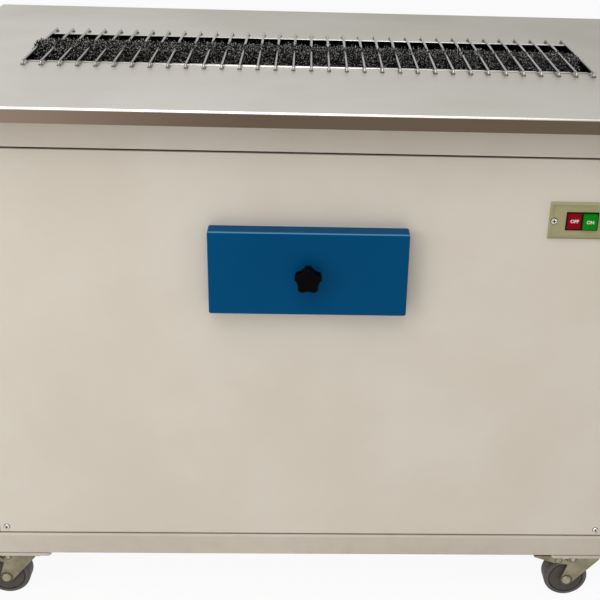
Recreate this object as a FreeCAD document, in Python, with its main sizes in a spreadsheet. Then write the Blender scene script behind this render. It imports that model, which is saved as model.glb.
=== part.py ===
"""Brush cleaning bench: a steel cabinet on casters with a stainless worktop.

A rotating brush stands in a slot of the worktop under a row of guard rods. It is driven by a
V-belt from a motor on the cabinet floor, and a chute leads the dirt into a drawer at the front.
Millimetres. The origin is on the floor under the middle of the cabinet, +X to the operator's
right, +Y to the back, +Z up.
"""

import FreeCAD, Part
import math
import operator
import os
from types import SimpleNamespace

import Sketcher

V = FreeCAD.Vector
DOC = FreeCAD.newDocument("brush_bench")

# Driving sizes: alias, value, meaning
SIZES = [
    # frame of square tube
    ("cabinet_width", "1080", "over the corner posts, left to right"),
    ("cabinet_depth", "600", "over the corner posts, front to back"),
    ("tube_side", "40", "square tube of the frame, outside"),
    ("tube_wall", "2", "wall of the tubes"),
    ("tube_corner", "4", "outer corner radius of the tubes"),
    ("apron_height", "70", "tall tubes under the worktop"),
    ("pad_length", "120", "pad under each corner for its caster, left to right"),
    ("pad_width", "80", "that pad, front to back"),
    ("pad_thick", "5", "thickness of that pad"),
    ("pad_corner", "6", "corner radius of that pad"),
    # panels
    ("panel_height", "660", "front, back and side panels"),
    ("panel_gap", "2", "gap round a panel in its frame opening"),
    ("panel_recess", "3", "a panel's face lies this far behind the frame's face"),
    ("panel_sheet", "1.5", "panel sheet"),
    ("panel_flange", "15", "folded edge behind a panel"),
    ("tab_side", "30", "square tab behind each panel corner"),
    ("tab_thick", "3", "thickness of a tab"),
    ("screw_inset", "11", "panel screw from the panel's edges"),
    ("screw_diameter", "4", "panel screw"),
    ("screw_head", "8.5", "head of a panel screw"),
    ("screw_rise", "2.6", "height of that head"),
    ("screw_clear", "0.15", "play round a screw in its hole"),
    ("vent_length", "90", "cooling slot in the back panel"),
    ("vent_height", "8", "cooling slot"),
    ("vent_step", "20", "from slot to slot"),
    # worktop
    ("top_sheet", "2", "stainless sheet"),
    ("overhang_front", "50", "worktop past the frame, front and back"),
    ("overhang_side", "50", "worktop past the frame, left and right"),
    ("hem_height", "22", "folded-down edge of the worktop"),
    ("hem_bend", "5", "outer radius of the folds"),
    ("slot_width", "194", "slot over the brush, front to back"),
    ("slot_end_gap", "6", "slot past the brush at each end"),
    ("slot_lip", "12", "folded-down edge of the slot"),
    # guard rods
    ("rod_diameter", "4", "guard rod"),
    ("rod_pitch", "27.2", "from rod to rod"),
    ("rod_rise", "5", "rod's middle above the worktop"),
    ("rod_bend", "3.5", "radius of a rod's bends, at its middle"),
    ("rod_land", "23", "rod's foot from the slot's edge"),
    ("rod_past_end", "2", "outermost rod past the slot's end"),
    # brush and its shaft
    ("brush_diameter", "150", "over the bristles"),
    ("brush_gap", "0.6", "bristle tips under the rods"),
    ("core_diameter", "70", "tube that holds the bristles"),
    ("shaft_diameter", "30", "shaft inside the core"),
    ("journal_diameter", "20", "shaft ends in the bearings"),
    ("shaft_setback", "2.5", "shaft end behind the outer face of a bearing block"),
    ("fit_play", "0.05", "radial play of running and push fits"),
    # bearing blocks
    ("block_rise", "33.3", "shaft above the foot of a bearing block"),
    ("block_length", "127", "foot, front to back"),
    ("block_width", "38", "foot, along the shaft"),
    ("block_foot", "14", "thickness of the foot"),
    ("block_bolts", "95", "spacing of its two bolts"),
    ("bolt_diameter", "10", "bearing bolt"),
    ("block_wall", "8", "casting round the bearing"),
    ("dome_width", "30", "that casting, along the shaft"),
    ("insert_diameter", "47", "ball bearing in the block"),
    ("insert_width", "30", "length of the bearing's inner ring"),
    # belt drive
    ("brush_pulley", "112", "outer diameter of the pulley on the brush"),
    ("motor_pulley", "72", "outer diameter of the pulley on the motor"),
    ("pulley_width", "20", "both pulleys"),
    ("pulley_gap", "2", "from a pulley to what is beside it"),
    ("belt_width", "13", "V-belt at its back"),
    ("belt_height", "8", "V-belt, from back to inside"),
    ("belt_play", "0.3", "from belt to groove"),
    # motor
    ("motor_rise", "80", "motor shaft above its feet"),
    ("motor_barrel", "130", "barrel diameter under the fins"),
    ("motor_fin", "8", "height of the fins"),
    ("fin_thick", "3", "a fin"),
    ("fin_root", "2", "fin let into the barrel"),
    ("fin_setback", "5", "fins behind the ends of the barrel"),
    ("motor_length", "190", "finned barrel"),
    ("motor_shaft", "19", "motor shaft"),
    ("motor_bell", "30", "end shield"),
    ("cowl_length", "50", "fan cowl"),
    ("foot_length", "125", "motor feet, along the shaft"),
    ("foot_spread", "160", "motor feet, across"),
    ("foot_thick", "10", "motor feet"),
    ("foot_bolt_inset", "14", "bolt from the edge of a foot"),
    ("foot_end", "20", "foot past its bolts, along the shaft"),
    ("foot_root", "6", "web of the feet let into the barrel"),
    ("rotor_gap", "1", "turning shaft from the barrel"),
    ("terminal_length", "90", "terminal box, along the shaft"),
    ("terminal_width", "80", "terminal box, across"),
    ("terminal_height", "42", "terminal box"),
    ("terminal_corner", "6", "corner radius of the terminal box"),
    ("floor_sheet", "1.5", "floor of the cabinet"),
    # dirt chute
    ("chute_sheet", "1.5", "sheet of the chute"),
    ("chute_gap", "30", "chute wall from the bristles"),
    ("chute_end_gap", "2.5", "chute end from the brush"),
    ("chute_drop", "10", "upper end of the sloping floor under the brush"),
    # drawer
    ("drawer_drop", "175", "middle of the drawer front below the panel's top"),
    ("drawer_width", "290", "drawer front"),
    ("drawer_height", "130", "drawer front"),
    ("drawer_thick", "25", "drawer front, folded like a pan"),
    ("drawer_sheet", "1.5", "sheet of the drawer front"),
    ("drawer_corner", "3", "rounded corners of the drawer front"),
    ("drawer_gap", "0.5", "drawer front from the panel"),
    ("tray_width", "268", "tray behind the drawer front"),
    ("tray_height", "70", "tray"),
    ("tray_length", "420", "tray"),
    ("tray_sheet", "1.2", "sheet of the tray"),
    ("tray_play", "3", "panel opening round the tray"),
    ("slide_play", "0.3", "tray on its runners"),
    ("runner_leg", "20", "angle of a runner"),
    ("runner_sheet", "2", "sheet of a runner"),
    # star knob
    ("knob_diameter", "40", "over the lobes"),
    ("knob_height", "15", "lobes"),
    ("knob_neck", "11", "neck under the lobes"),
    ("neck_diameter", "18", "neck"),
    ("scallop_radius", "16", "hollow between two lobes"),
    ("scallop_bite", "4", "depth of that hollow"),
    ("lobe_round", "2.5", "rounded corners of a lobe"),
    ("lobe_edge", "2.4", "rounded front edge of the lobes"),
    ("stud_diameter", "8", "stud of the knob"),
    ("stud_nut", "6", "nut on the stud"),
    ("stud_end", "4", "stud past its nut"),
    # push-button switch
    ("switch_inset", "105", "middle of the switch from the right-hand post"),
    ("switch_drop", "93", "middle of the switch below the panel's top"),
    ("plate_width", "95", "switch plate"),
    ("plate_height", "56", "switch plate"),
    ("plate_thick", "4", "switch plate"),
    ("plate_bevel", "2", "bevel of the plate"),
    ("plate_screws", "82", "spacing of its two screws"),
    ("button_width", "20.5", "push button"),
    ("button_height", "24", "push button"),
    ("button_play", "0.5", "gap round a button"),
    ("button_divider", "1", "bar between the two buttons"),
    ("button_stroke", "3", "travel of a button"),
    ("button_corner", "1", "corner radius of a button"),
    ("button_edge", "0.8", "rounded edge of a button"),
    ("button_root", "6", "button behind the panel sheet"),
    ("button_well", "12", "well of a button behind the panel sheet"),
    ("button_stand", "1.5", "pressed-in button above the plate"),
    ("bezel_wall", "1.6", "collar round the buttons"),
    ("collar_rise", "0.6", "collar above the plate"),
    ("box_inset", "6", "switch box inside the plate's edge"),
    ("plate_screw_bite", "8", "plate screw in the switch box"),
    ("plate_screw_hole", "10", "hole for that screw"),
    ("switch_depth", "48", "switch box behind the panel"),
    # cable gland
    ("gland_bore", "10", "way for the mains cable"),
    ("gland_hex", "24", "gland nut across its round"),
    ("gland_thread", "18", "gland in the panel"),
    ("gland_inside", "14", "gland behind the panel"),
    ("gland_flange", "8", "gland nut"),
    ("gland_reach", "20", "gland outside the panel"),
    ("gland_locknut", "6", "lock nut inside the panel"),
    ("gland_play", "0.1", "lock nut round the thread"),
    ("gland_inset", "120", "gland from the nearest post"),
    ("gland_up", "60", "gland above the panel's lower edge"),
    # casters
    ("wheel_diameter", "75", "tread of a wheel"),
    ("wheel_width", "30", "wheel"),
    ("hub_diameter", "56", "core of a wheel"),
    ("hub_recess", "0.6", "core behind the tyre's side"),
    ("tyre_groove", "1.2", "bevel of the tyre beside the core"),
    ("axle_diameter", "8", "wheel axle"),
    ("caster_trail", "24", "axle behind the swivel"),
    ("fork_sheet", "2.5", "sheet of the fork"),
    ("fork_play", "3", "fork leg from the wheel"),
    ("fork_front", "28", "fork in front of the swivel"),
    ("fork_tip", "11", "radius of the fork round the axle"),
    ("wheel_headroom", "6.5", "pin head above the wheel"),
    ("pin_head", "3", "head of the swivel pin"),
    ("pin_diameter", "12", "swivel pin"),
    ("swivel_play", "0.5", "gaps of the swivel"),
    ("race_diameter", "52", "swivel race"),
    ("race_height", "9", "swivel race"),
    ("caster_plate_length", "90", "caster plate, left to right"),
    ("caster_plate_width", "70", "caster plate, front to back"),
    ("caster_plate_thick", "3", "caster plate"),
    ("caster_bolt", "8", "bolts of a caster plate"),
    ("caster_bolts_long", "70", "spacing of those bolts"),
    ("caster_bolts_wide", "50", "spacing of those bolts"),
    ("pedal_reach", "43", "brake pedal past its pivot"),
    ("pedal_pivot_back", "19", "pedal pivot behind the axle"),
    ("pedal_pivot_up", "44", "pedal pivot above the axle"),
    ("pedal_sheet", "2", "sheet of the pedal"),
    ("pedal_pin", "6", "pedal pivot"),
    ("rivet_dome", "2", "head of that pivot"),
]

sheet = DOC.addObject("Spreadsheet::Sheet", "sizes")
for row, (alias, number, meaning) in enumerate(SIZES, start=1):
    sheet.set(f"A{row}", meaning)
    sheet.set(f"B{row}", number)
    sheet.setAlias(f"B{row}", alias)
DOC.recompute()


# Sizes from the sheet, and the drawings and features that are tied to them
class Size:
    """A number from the sheet together with the expression that gives it."""

    def __init__(self, number, text=None):
        self.number = number
        self.text = text or f"({number})"

    def join(self, other, sign, swap=False):
        first, second = self, other if isinstance(other, Size) else Size(other)
        if swap:
            first, second = second, first
        number = OPERATORS[sign](first.number, second.number)
        return Size(number, f"({first.text} {sign} {second.text})")

    def __add__(self, other):
        return self.join(other, "+")

    def __sub__(self, other):
        return self.join(other, "-")

    def __rsub__(self, other):
        return self.join(other, "-", swap=True)

    def __mul__(self, other):
        return self.join(other, "*")

    def __truediv__(self, other):
        return self.join(other, "/")

    def __neg__(self):
        return self * -1

    def __float__(self):
        return float(self.number)

    __radd__ = __add__
    __rmul__ = __mul__


OPERATORS = {"+": operator.add, "-": operator.sub, "*": operator.mul, "/": operator.truediv}
s = SimpleNamespace(
    **{alias: Size(float(sheet.get(alias)), f"sizes.{alias}") for alias, number, meaning in SIZES}
)
PARTS = []
SMALLEST_CUT = 0.1
VENTS = 6
FINS = 20
LOBES = 5
BELT_TAPER = 0.32
NEAR = 0.01


def tie(thing, name, size):
    """Let a property follow the sheet."""
    if isinstance(size, Size):
        thing.setExpression(name, size.text)
    else:
        thing.setExpression(name, str(size))


def new_body(label, x=0, y=0, z=0, turn=0):
    """A body whose own frame stands at (x, y, z), turned about Z."""
    body = DOC.addObject("PartDesign::Body", label)
    body.Label = label
    body.AllowCompound = True
    body.Placement = FreeCAD.Placement(V(), FreeCAD.Rotation(V(0, 0, 1), turn))
    for axis, size in zip("xyz", (x, y, z)):
        tie(body, f"Placement.Base.{axis}", size)
    PARTS.append(body)
    return body


class Drawing:
    """A sketch on an origin plane of its body, with every point tied to the sheet."""

    def __init__(self, body, plane, offset=0):
        self.sketch = body.newObject("Sketcher::SketchObject", "sketch")
        role = f"{plane}_Plane"
        support = next(o for o in body.Origin.OriginFeatures if o.Role == role)
        self.sketch.AttachmentSupport = (support, [""])
        self.sketch.MapMode = "FlatFace"
        tie(self.sketch, "AttachmentOffset.Base.z", offset)
        self.shapes = []
        self.rules = []
        self.ties = []

    def add(self, shape):
        self.shapes.append(shape)
        return len(self.shapes) - 1

    def join(self, first, first_point, second, second_point):
        self.rules.append(Sketcher.Constraint("Coincident", first, first_point, second, second_point))

    def hold(self, kind, place, size):
        self.ties.append((len(self.rules), size))
        self.rules.append(Sketcher.Constraint(kind, *place, float(size)))

    def pin(self, shape, point, x, y):
        self.hold("DistanceX", (-1, 1, shape, point), x)
        self.hold("DistanceY", (-1, 1, shape, point), y)

    def done(self):
        """The sketch, once everything drawn is handed to it."""
        self.sketch.addGeometry(self.shapes)
        self.sketch.addConstraint(self.rules)
        for index, size in self.ties:
            tie(self.sketch, f"Constraints[{index}]", size)
        return self.sketch

    def line(self, start, end):
        return self.add(Part.LineSegment(flat(*start), flat(*end)))

    def polygon(self, corners):
        count = len(corners)
        lines = [self.line(corners[i], corners[(i + 1) % count]) for i in range(count)]
        for i, corner in enumerate(corners):
            self.join(lines[i - 1], 2, lines[i], 1)
            self.pin(lines[i], 1, *corner)

    def rectangle(self, x0, y0, x1, y1):
        self.polygon([(x0, y0), (x1, y0), (x1, y1), (x0, y1)])

    def circle(self, x, y, radius):
        ring = self.add(Part.Circle(flat(x, y), V(0, 0, 1), float(radius)))
        self.pin(ring, 3, x, y)
        self.hold("Radius", (ring,), radius)

    def rounded(self, corners, radius, closed=True):
        """Straight runs along the sketch's axes, joined by tangent arcs."""
        count = len(corners)
        spots = [flat(*corner) for corner in corners]
        ends = []
        for i, (x, y) in enumerate(corners):
            if not closed and i in (0, count - 1):
                ends.append(((x, y), (x, y)))
                continue
            ways = [(spots[i - 1] - spots[i]).normalize(), (spots[(i + 1) % count] - spots[i]).normalize()]
            ends.append([(x + round(way.x) * radius, y + round(way.y) * radius) for way in ways])
        runs = []
        for i in range(count if closed else count - 1):
            start, end = ends[i][1], ends[(i + 1) % count][0]
            run = self.line(start, end)
            self.pin(run, 1, *start)
            self.pin(run, 2, *end)
            runs.append(run)
        for i in range(0 if closed else 1, count if closed else count - 1):
            start, end = (flat(*point) for point in ends[i])
            centre = start + end - spots[i]
            middle = centre + (spots[i] - centre).normalize() * float(radius)
            arc = self.add(Part.Arc(start, middle, end))
            forward = (middle - start).cross(end - start).z > 0
            self.join(runs[i - 1], 2, arc, 1 if forward else 2)
            self.join(runs[i % len(runs)], 1, arc, 2 if forward else 1)
            self.hold("Radius", (arc,), radius)

    def rounded_rectangle(self, x0, y0, x1, y1, radius):
        self.rounded([(x0, y0), (x1, y0), (x1, y1), (x0, y1)], radius)


def flat(x, y):
    return V(float(x), float(y), 0)


def solid_feature(body, kind, drawing, length, both=False, back=False):
    """A pad or a pocket. A cut that takes nothing away stops the build."""
    before = body.Shape.Volume if body.Tip else 0
    feature = body.newObject(f"PartDesign::{kind}", kind.lower())
    feature.Profile = drawing.done()
    tie(feature, "Length", length)
    feature.SideType = "Symmetric" if both else "One side"
    feature.Reversed = back
    DOC.recompute()
    if kind == "Pocket" and body.Shape.Volume > before - SMALLEST_CUT:
        raise RuntimeError(f"{body.Label}: a pocket cuts nothing")
    return feature


def pad(body, drawing, length, both=False, back=False):
    return solid_feature(body, "Pad", drawing, length, both, back)


def pocket(body, drawing, length, both=False, back=False):
    return solid_feature(body, "Pocket", drawing, length, both, back)


def revolve(body, drawing, axis):
    """A full turn about the sketch's H or V axis."""
    feature = body.newObject("PartDesign::Revolution", "revolution")
    feature.Profile = drawing.done()
    feature.ReferenceAxis = (drawing.sketch, [f"{axis}_Axis"])
    DOC.recompute()
    return feature


def soften(body, kind, size, pick):
    """A fillet or chamfer on the edges that pick accepts, in the body's own frame."""
    DOC.recompute()
    tip = body.Tip
    edges = [f"Edge{i}" for i, edge in enumerate(tip.Shape.Edges, start=1) if pick(edge)]
    feature = body.newObject(f"PartDesign::{kind}", kind.lower())
    feature.Base = (tip, edges)
    tie(feature, "Radius" if kind == "Fillet" else "Size", size)
    DOC.recompute()
    return feature


def runs_along(edge, axis):
    """A straight edge along X, Y or Z."""
    if not isinstance(edge.Curve, Part.Line):
        return False
    return abs(edge.tangentAt(edge.FirstParameter)["xyz".index(axis)]) > 0.999


def feature_of(label, shape):
    """A piece whose shape is worked out here, from sizes read from the sheet."""
    piece = DOC.addObject("Part::Feature", label)
    piece.Label = label
    piece.Shape = shape
    PARTS.append(piece)
    return piece


def group(label, pieces):
    """One part made of several pieces that stay separate solids."""
    whole = DOC.addObject("Part::Compound", label)
    whole.Label = label
    whole.Links = pieces
    for piece in pieces:
        PARTS.remove(piece)
    PARTS.append(whole)


def turned(profile):
    """The solid of an outline of (radius, along) points about the Z axis."""
    ring = Part.makePolygon([V(r, 0, a) for r, a in [*profile, profile[0]]])
    return Part.Face(ring).revolve(V(), V(0, 0, 1), 360)


def copies(master, places):
    """One compound of copies of a solid, moved to each place."""
    made = []
    for place in places:
        copy = master.copy()
        copy.Placement = place.multiply(master.Placement)
        made.append(copy)
    return Part.Compound(made)


# Levels and distances that follow from the driving sizes
HALF_WIDTH = s.cabinet_width / 2
HALF_DEPTH = s.cabinet_depth / 2
CROWN_LOW = s.wheel_diameter + s.wheel_headroom + s.pin_head + s.swivel_play
CROWN_HIGH = CROWN_LOW + s.fork_sheet
RACE_LOW = CROWN_HIGH + s.swivel_play
PLATE_LOW = RACE_LOW + s.race_height
CASTER_TOP = PLATE_LOW + s.caster_plate_thick
BASE_LOW = CASTER_TOP + s.pad_thick
BASE_HIGH = BASE_LOW + s.tube_side
PANEL_LOW = BASE_HIGH + s.panel_gap
PANEL_HIGH = PANEL_LOW + s.panel_height
APRON_LOW = PANEL_HIGH + s.panel_gap
APRON_HIGH = APRON_LOW + s.apron_height
TABLE = APRON_HIGH + s.top_sheet
BRUSH_AXIS = TABLE + s.rod_rise - s.rod_diameter / 2 - s.brush_gap - s.brush_diameter / 2
BRUSH_LOW = BRUSH_AXIS - s.brush_diameter / 2
RAIL_HIGH = BRUSH_AXIS - s.block_rise
RAIL_LOW = RAIL_HIGH - s.tube_side
BEARING_X = HALF_WIDTH - 1.5 * s.tube_side
RAIL_X = BEARING_X - s.tube_side / 2
PULLEY_X = RAIL_X - s.pulley_gap - s.pulley_width / 2
CHUTE_END_X = PULLEY_X - s.pulley_width / 2 - s.pulley_gap
BRUSH_HALF = CHUTE_END_X - s.chute_sheet - s.chute_end_gap
SLOT_HALF = BRUSH_HALF + s.slot_end_gap
CHUTE_Y = s.brush_diameter / 2 + s.chute_gap
FACE_Y = HALF_DEPTH - s.panel_recess
INNER_Y = FACE_Y - s.panel_sheet
FLANGE_Y = FACE_Y - s.panel_flange
DRAWER_Z = PANEL_HIGH - s.drawer_drop
TRAY_LOW = DRAWER_Z - s.tray_height / 2
TRAY_HIGH = TRAY_LOW + s.tray_height
DRAWER_Y = FACE_Y + s.drawer_gap + s.drawer_thick
SWITCH_Z = PANEL_HIGH - s.switch_drop
BUTTON_X = s.button_width / 2 + s.button_play + s.button_divider / 2
BEZEL_X = BUTTON_X + s.button_width / 2 + s.button_play + s.bezel_wall
BEZEL_Z = s.button_height / 2 + s.button_play + s.bezel_wall
SWITCH_X = HALF_WIDTH - s.tube_side - s.switch_inset
COLLAR_Y = s.plate_thick + s.collar_rise
GLAND_X = HALF_WIDTH - s.tube_side - s.gland_inset
MOTOR_AXIS = BASE_HIGH + s.floor_sheet + s.motor_rise
MOTOR_FRONT_X = PULLEY_X - s.pulley_width / 2 - s.pulley_gap
BARREL_X = MOTOR_FRONT_X - s.motor_bell
FEET_X = BARREL_X - s.motor_length / 2
CASTER_X = HALF_WIDTH - s.pad_length / 2
CASTER_Y = HALF_DEPTH - s.pad_width / 2
WHEEL_Z = s.wheel_diameter / 2
LEG_Y = s.wheel_width / 2 + s.fork_play
LEG_OUT = LEG_Y + s.fork_sheet


# Frame: mitred tube rings under and over four posts
def mitred_pair(label, low, height, long_way):
    """Two opposite tubes of a rectangular ring, mitred at its corners."""
    body = new_body(label)
    plan = Drawing(body, "XY", low)
    side = Drawing(body, "YZ" if long_way else "XZ")
    for sign in (-1, 1):
        far = sign * (HALF_DEPTH if long_way else HALF_WIDTH)
        near = far - sign * s.tube_side
        half = HALF_WIDTH if long_way else HALF_DEPTH
        ends = [(-half, far), (half, far), (half - s.tube_side, near), (-half + s.tube_side, near)]
        if not long_way:
            ends = [(across, along) for along, across in ends]
        plan.polygon(ends)
        wall = sign * s.tube_wall
        side.rectangle(far - wall, low + s.tube_wall, near + wall, low + height - s.tube_wall)
    pad(body, plan, height)
    axis = "x" if long_way else "y"
    span = float(s.cabinet_width if long_way else s.cabinet_depth) - 2 * float(s.tube_side)
    soften(body, "Fillet", s.tube_corner, lambda e: runs_along(e, axis) and e.Length > span - 1)
    pocket(body, side, 2 * s.cabinet_width, both=True)
    return body


def corner_posts():
    body = new_body("corner_posts")
    for x_sign in (-1, 1):
        for y_sign in (-1, 1):
            plan = Drawing(body, "XY", BASE_HIGH)
            for inset, radius in ((0, s.tube_corner), (s.tube_wall, s.tube_corner - s.tube_wall)):
                xs = [x_sign * (HALF_WIDTH - inset), x_sign * (HALF_WIDTH - s.tube_side + inset)]
                ys = [y_sign * (HALF_DEPTH - inset), y_sign * (HALF_DEPTH - s.tube_side + inset)]
                plan.rounded_rectangle(xs[0], ys[0], xs[1], ys[1], radius)
            pad(body, plan, s.panel_height + 2 * s.panel_gap)


def cross_tubes():
    """Tubes from front to back: one under each bearing block, two under the motor's feet."""
    body = new_body("cross_tubes")
    bearing_reach = FLANGE_Y - s.panel_gap
    motor_reach = HALF_DEPTH - s.tube_side
    for middle, low, reach in (
        (-BEARING_X, RAIL_LOW, bearing_reach),
        (BEARING_X, RAIL_LOW, bearing_reach),
        (FEET_X - s.foot_length / 2, BASE_LOW, motor_reach),
        (FEET_X + s.foot_length / 2, BASE_LOW, motor_reach),
    ):
        section = Drawing(body, "XZ")
        for inset, radius in ((0, s.tube_corner), (s.tube_wall, s.tube_corner - s.tube_wall)):
            section.rounded_rectangle(
                middle - s.tube_side / 2 + inset,
                low + inset,
                middle + s.tube_side / 2 - inset,
                low + s.tube_side - inset,
                radius,
            )
        pad(body, section, 2 * reach, both=True)


def caster_spots():
    return [
        (name, sx * CASTER_X, sy * CASTER_Y)
        for name, sx, sy in (
            ("front_left", -1, -1),
            ("front_right", 1, -1),
            ("rear_left", -1, 1),
            ("rear_right", 1, 1),
        )
    ]


def caster_bolt_spots(x, y):
    return [
        (x + sx * s.caster_bolts_long / 2, y + sy * s.caster_bolts_wide / 2)
        for sx in (-1, 1)
        for sy in (-1, 1)
    ]


def caster_pads():
    body = new_body("caster_pads")
    plan = Drawing(body, "XY", CASTER_TOP)
    for name, x, y in caster_spots():
        long, deep = s.pad_length / 2, s.pad_width / 2
        plan.rounded_rectangle(x - long, y - deep, x + long, y + deep, s.pad_corner)
        for bolt in caster_bolt_spots(x, y):
            plan.circle(*bolt, s.caster_bolt / 2 + s.screw_clear)
    pad(body, plan, s.pad_thick)


# Panels: a flat face with folded edges that stop short of the corner tabs
def panel(label, width, y, turn, x=0):
    body = new_body(label, x=x, y=y, z=PANEL_LOW, turn=turn)
    half = width / 2 - s.panel_gap
    face = Drawing(body, "XZ")
    face.rectangle(-half, 0, half, s.panel_height)
    for sx in (-1, 1):
        for z in (s.screw_inset, s.panel_height - s.screw_inset):
            face.circle(sx * (half - s.screw_inset), z, s.screw_diameter / 2 + s.screw_clear)
    pad(body, face, s.panel_sheet, back=True)
    folds = Drawing(body, "XZ", -s.panel_sheet)
    relief = s.tab_side + s.panel_gap
    for sx in (-1, 1):
        folds.rectangle(
            sx * half, relief, sx * (half - s.panel_sheet), s.panel_height - relief
        )
    for low in (0, s.panel_height - s.panel_sheet):
        folds.rectangle(-half + relief, low, half - relief, low + s.panel_sheet)
    pad(body, folds, s.panel_flange - s.panel_sheet, back=True)
    return body


def front_panel():
    body = panel("front_panel", s.cabinet_width - 2 * s.tube_side, -FACE_Y, 0)
    cuts = Drawing(body, "XZ")
    low = TRAY_LOW - PANEL_LOW
    side = s.tray_width / 2 + s.tray_play
    cuts.rectangle(-side, low - s.tray_play, side, low + s.tray_height + s.tray_play)
    up = SWITCH_Z - PANEL_LOW
    wide = BEZEL_X + s.screw_clear
    tall = BEZEL_Z + s.screw_clear
    cuts.rectangle(SWITCH_X - wide, up - tall, SWITCH_X + wide, up + tall)
    for sign in (-1, 1):
        cuts.circle(SWITCH_X + sign * s.plate_screws / 2, up, s.screw_diameter / 2 + s.screw_clear)
    pocket(body, cuts, 2 * s.panel_sheet)


def rear_panel():
    """The back panel has rows of cooling slots beside the motor, and the cable's hole."""
    body = panel("rear_panel", s.cabinet_width - 2 * s.tube_side, FACE_Y, 180)
    cuts = Drawing(body, "XZ")
    cuts.circle(-GLAND_X, s.gland_up, s.gland_thread / 2 + s.screw_clear)
    pocket(body, cuts, 2 * s.panel_sheet)
    for column in (-1, 1):
        vent = Drawing(body, "XZ")
        x = -FEET_X + column * s.vent_length * 0.6
        z = MOTOR_AXIS - PANEL_LOW
        half = s.vent_length / 2
        vent.rounded_rectangle(x - half, z, x + half, z + s.vent_height, s.vent_height * 0.45)
        slot = pocket(body, vent, 2 * s.panel_sheet)
        row = body.newObject("PartDesign::LinearPattern", "vents")
        row.Originals = [slot]
        row.Direction = (vent.sketch, ["V_Axis"])
        tie(row, "Length", s.vent_step * (VENTS - 1))
        row.Occurrences = VENTS
        body.Tip = row
        DOC.recompute()


def panel_sides():
    """Each panel's opening width, the distance of its face from the middle, and its turn."""
    across = float(s.cabinet_width - 2 * s.tube_side)
    deep = float(s.cabinet_depth - 2 * s.tube_side)
    face_x = float(HALF_WIDTH - s.panel_recess)
    face_y = float(FACE_Y)
    return [(across, face_y, 0), (across, face_y, 180), (deep, face_x, 90), (deep, face_x, 270)]


def panel_corners(inset):
    """A place for each panel corner, its own -Y pointing out of the panel's face."""
    for width, face, turn in panel_sides():
        outward = FreeCAD.Placement(V(), FreeCAD.Rotation(V(0, 0, 1), turn))
        reach = width / 2 - inset
        for side in (-1, 1):
            for z in (float(PANEL_LOW), float(PANEL_HIGH)):
                rise = inset - float(s.panel_gap)
                level = z + rise if z < float(DRAWER_Z) else z - rise
                spot = FreeCAD.Placement(V(side * reach, -face, level), FreeCAD.Rotation())
                yield outward.multiply(spot)


def panel_tabs():
    side, thick = float(s.tab_side), float(s.tab_thick)
    hole = Part.makeCylinder(float(s.screw_diameter / 2 + s.screw_clear), thick, V(), V(0, 1, 0))
    shift = side / 2 - float(s.screw_inset + s.panel_gap)
    made = []
    for place in panel_corners(float(s.screw_inset + s.panel_gap)):
        local = place.Rotation.inverted().multVec(place.Base)
        out = 1 if local.x > 0 else -1
        up = 1 if local.z > float(DRAWER_Z) else -1
        plate = Part.makeBox(side, thick, side, V(-side / 2, 0, -side / 2))
        plate.translate(V(-out * shift, 0, -up * (shift + float(s.panel_gap))))
        tab = plate.cut(hole)
        tab.translate(V(0, float(s.panel_sheet), 0))
        tab.Placement = place.multiply(tab.Placement)
        made.append(tab)
    feature_of("panel_tabs", Part.Compound(made))


def screw(head, rise, shank, length):
    """A domed screw along +Y, its head's seat at the origin."""
    radius, crown = head / 2, rise * 0.35
    core = shank / 2
    dome = [(radius, 0), (radius, crown), (radius * 0.55, rise), (0, rise)]
    solid = turned([(0, -length), (core, -length), (core, 0), *dome])
    solid.Placement = FreeCAD.Placement(V(), FreeCAD.Rotation(V(1, 0, 0), 90))
    return solid


def panel_screws():
    length = float(s.panel_sheet + s.tab_thick)
    master = screw(float(s.screw_head), float(s.screw_rise), float(s.screw_diameter), length)
    feature_of("panel_screws", copies(master, panel_corners(float(s.screw_inset + s.panel_gap))))


def floor_panel():
    """The floor lies on the base ring between the posts, with holes for the motor bolts."""
    body = new_body("floor_panel")
    plan = Drawing(body, "XY", BASE_HIGH)
    wide = HALF_WIDTH - s.tube_side - s.panel_gap
    deep = FLANGE_Y - s.panel_gap
    plan.rectangle(-wide, -deep, wide, deep)
    for x, y in motor_bolt_spots():
        plan.circle(x, y, s.bolt_diameter / 2 + s.screw_clear)
    pad(body, plan, s.floor_sheet)


# Worktop and its guard rods
def worktop():
    body = new_body("worktop")
    wide, deep = HALF_WIDTH + s.overhang_side, HALF_DEPTH + s.overhang_front
    block = Drawing(body, "XY", TABLE - s.hem_height)
    block.rectangle(-wide, -deep, wide, deep)
    pad(body, block, s.hem_height)
    table = float(TABLE)
    soften(
        body,
        "Fillet",
        s.hem_bend,
        lambda e: runs_along(e, "z") or e.BoundBox.ZMin > table - 1,
    )
    hollow = Drawing(body, "XY", TABLE - s.hem_height)
    inner_wide, inner_deep = wide - s.top_sheet, deep - s.top_sheet
    hollow.rectangle(-inner_wide, -inner_deep, inner_wide, inner_deep)
    pocket(body, hollow, s.hem_height - s.top_sheet, back=True)
    lip = Drawing(body, "XY", TABLE - s.slot_lip)
    lip_x, lip_y = SLOT_HALF + s.top_sheet, s.slot_width / 2 + s.top_sheet
    lip.rectangle(-lip_x, -lip_y, lip_x, lip_y)
    pad(body, lip, s.slot_lip - s.top_sheet / 2)
    slot = Drawing(body, "XY", TABLE - s.hem_height)
    slot.rectangle(-SLOT_HALF, -s.slot_width / 2, SLOT_HALF, s.slot_width / 2)
    pocket(body, slot, 2 * s.hem_height, back=True)
    return body


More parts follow.
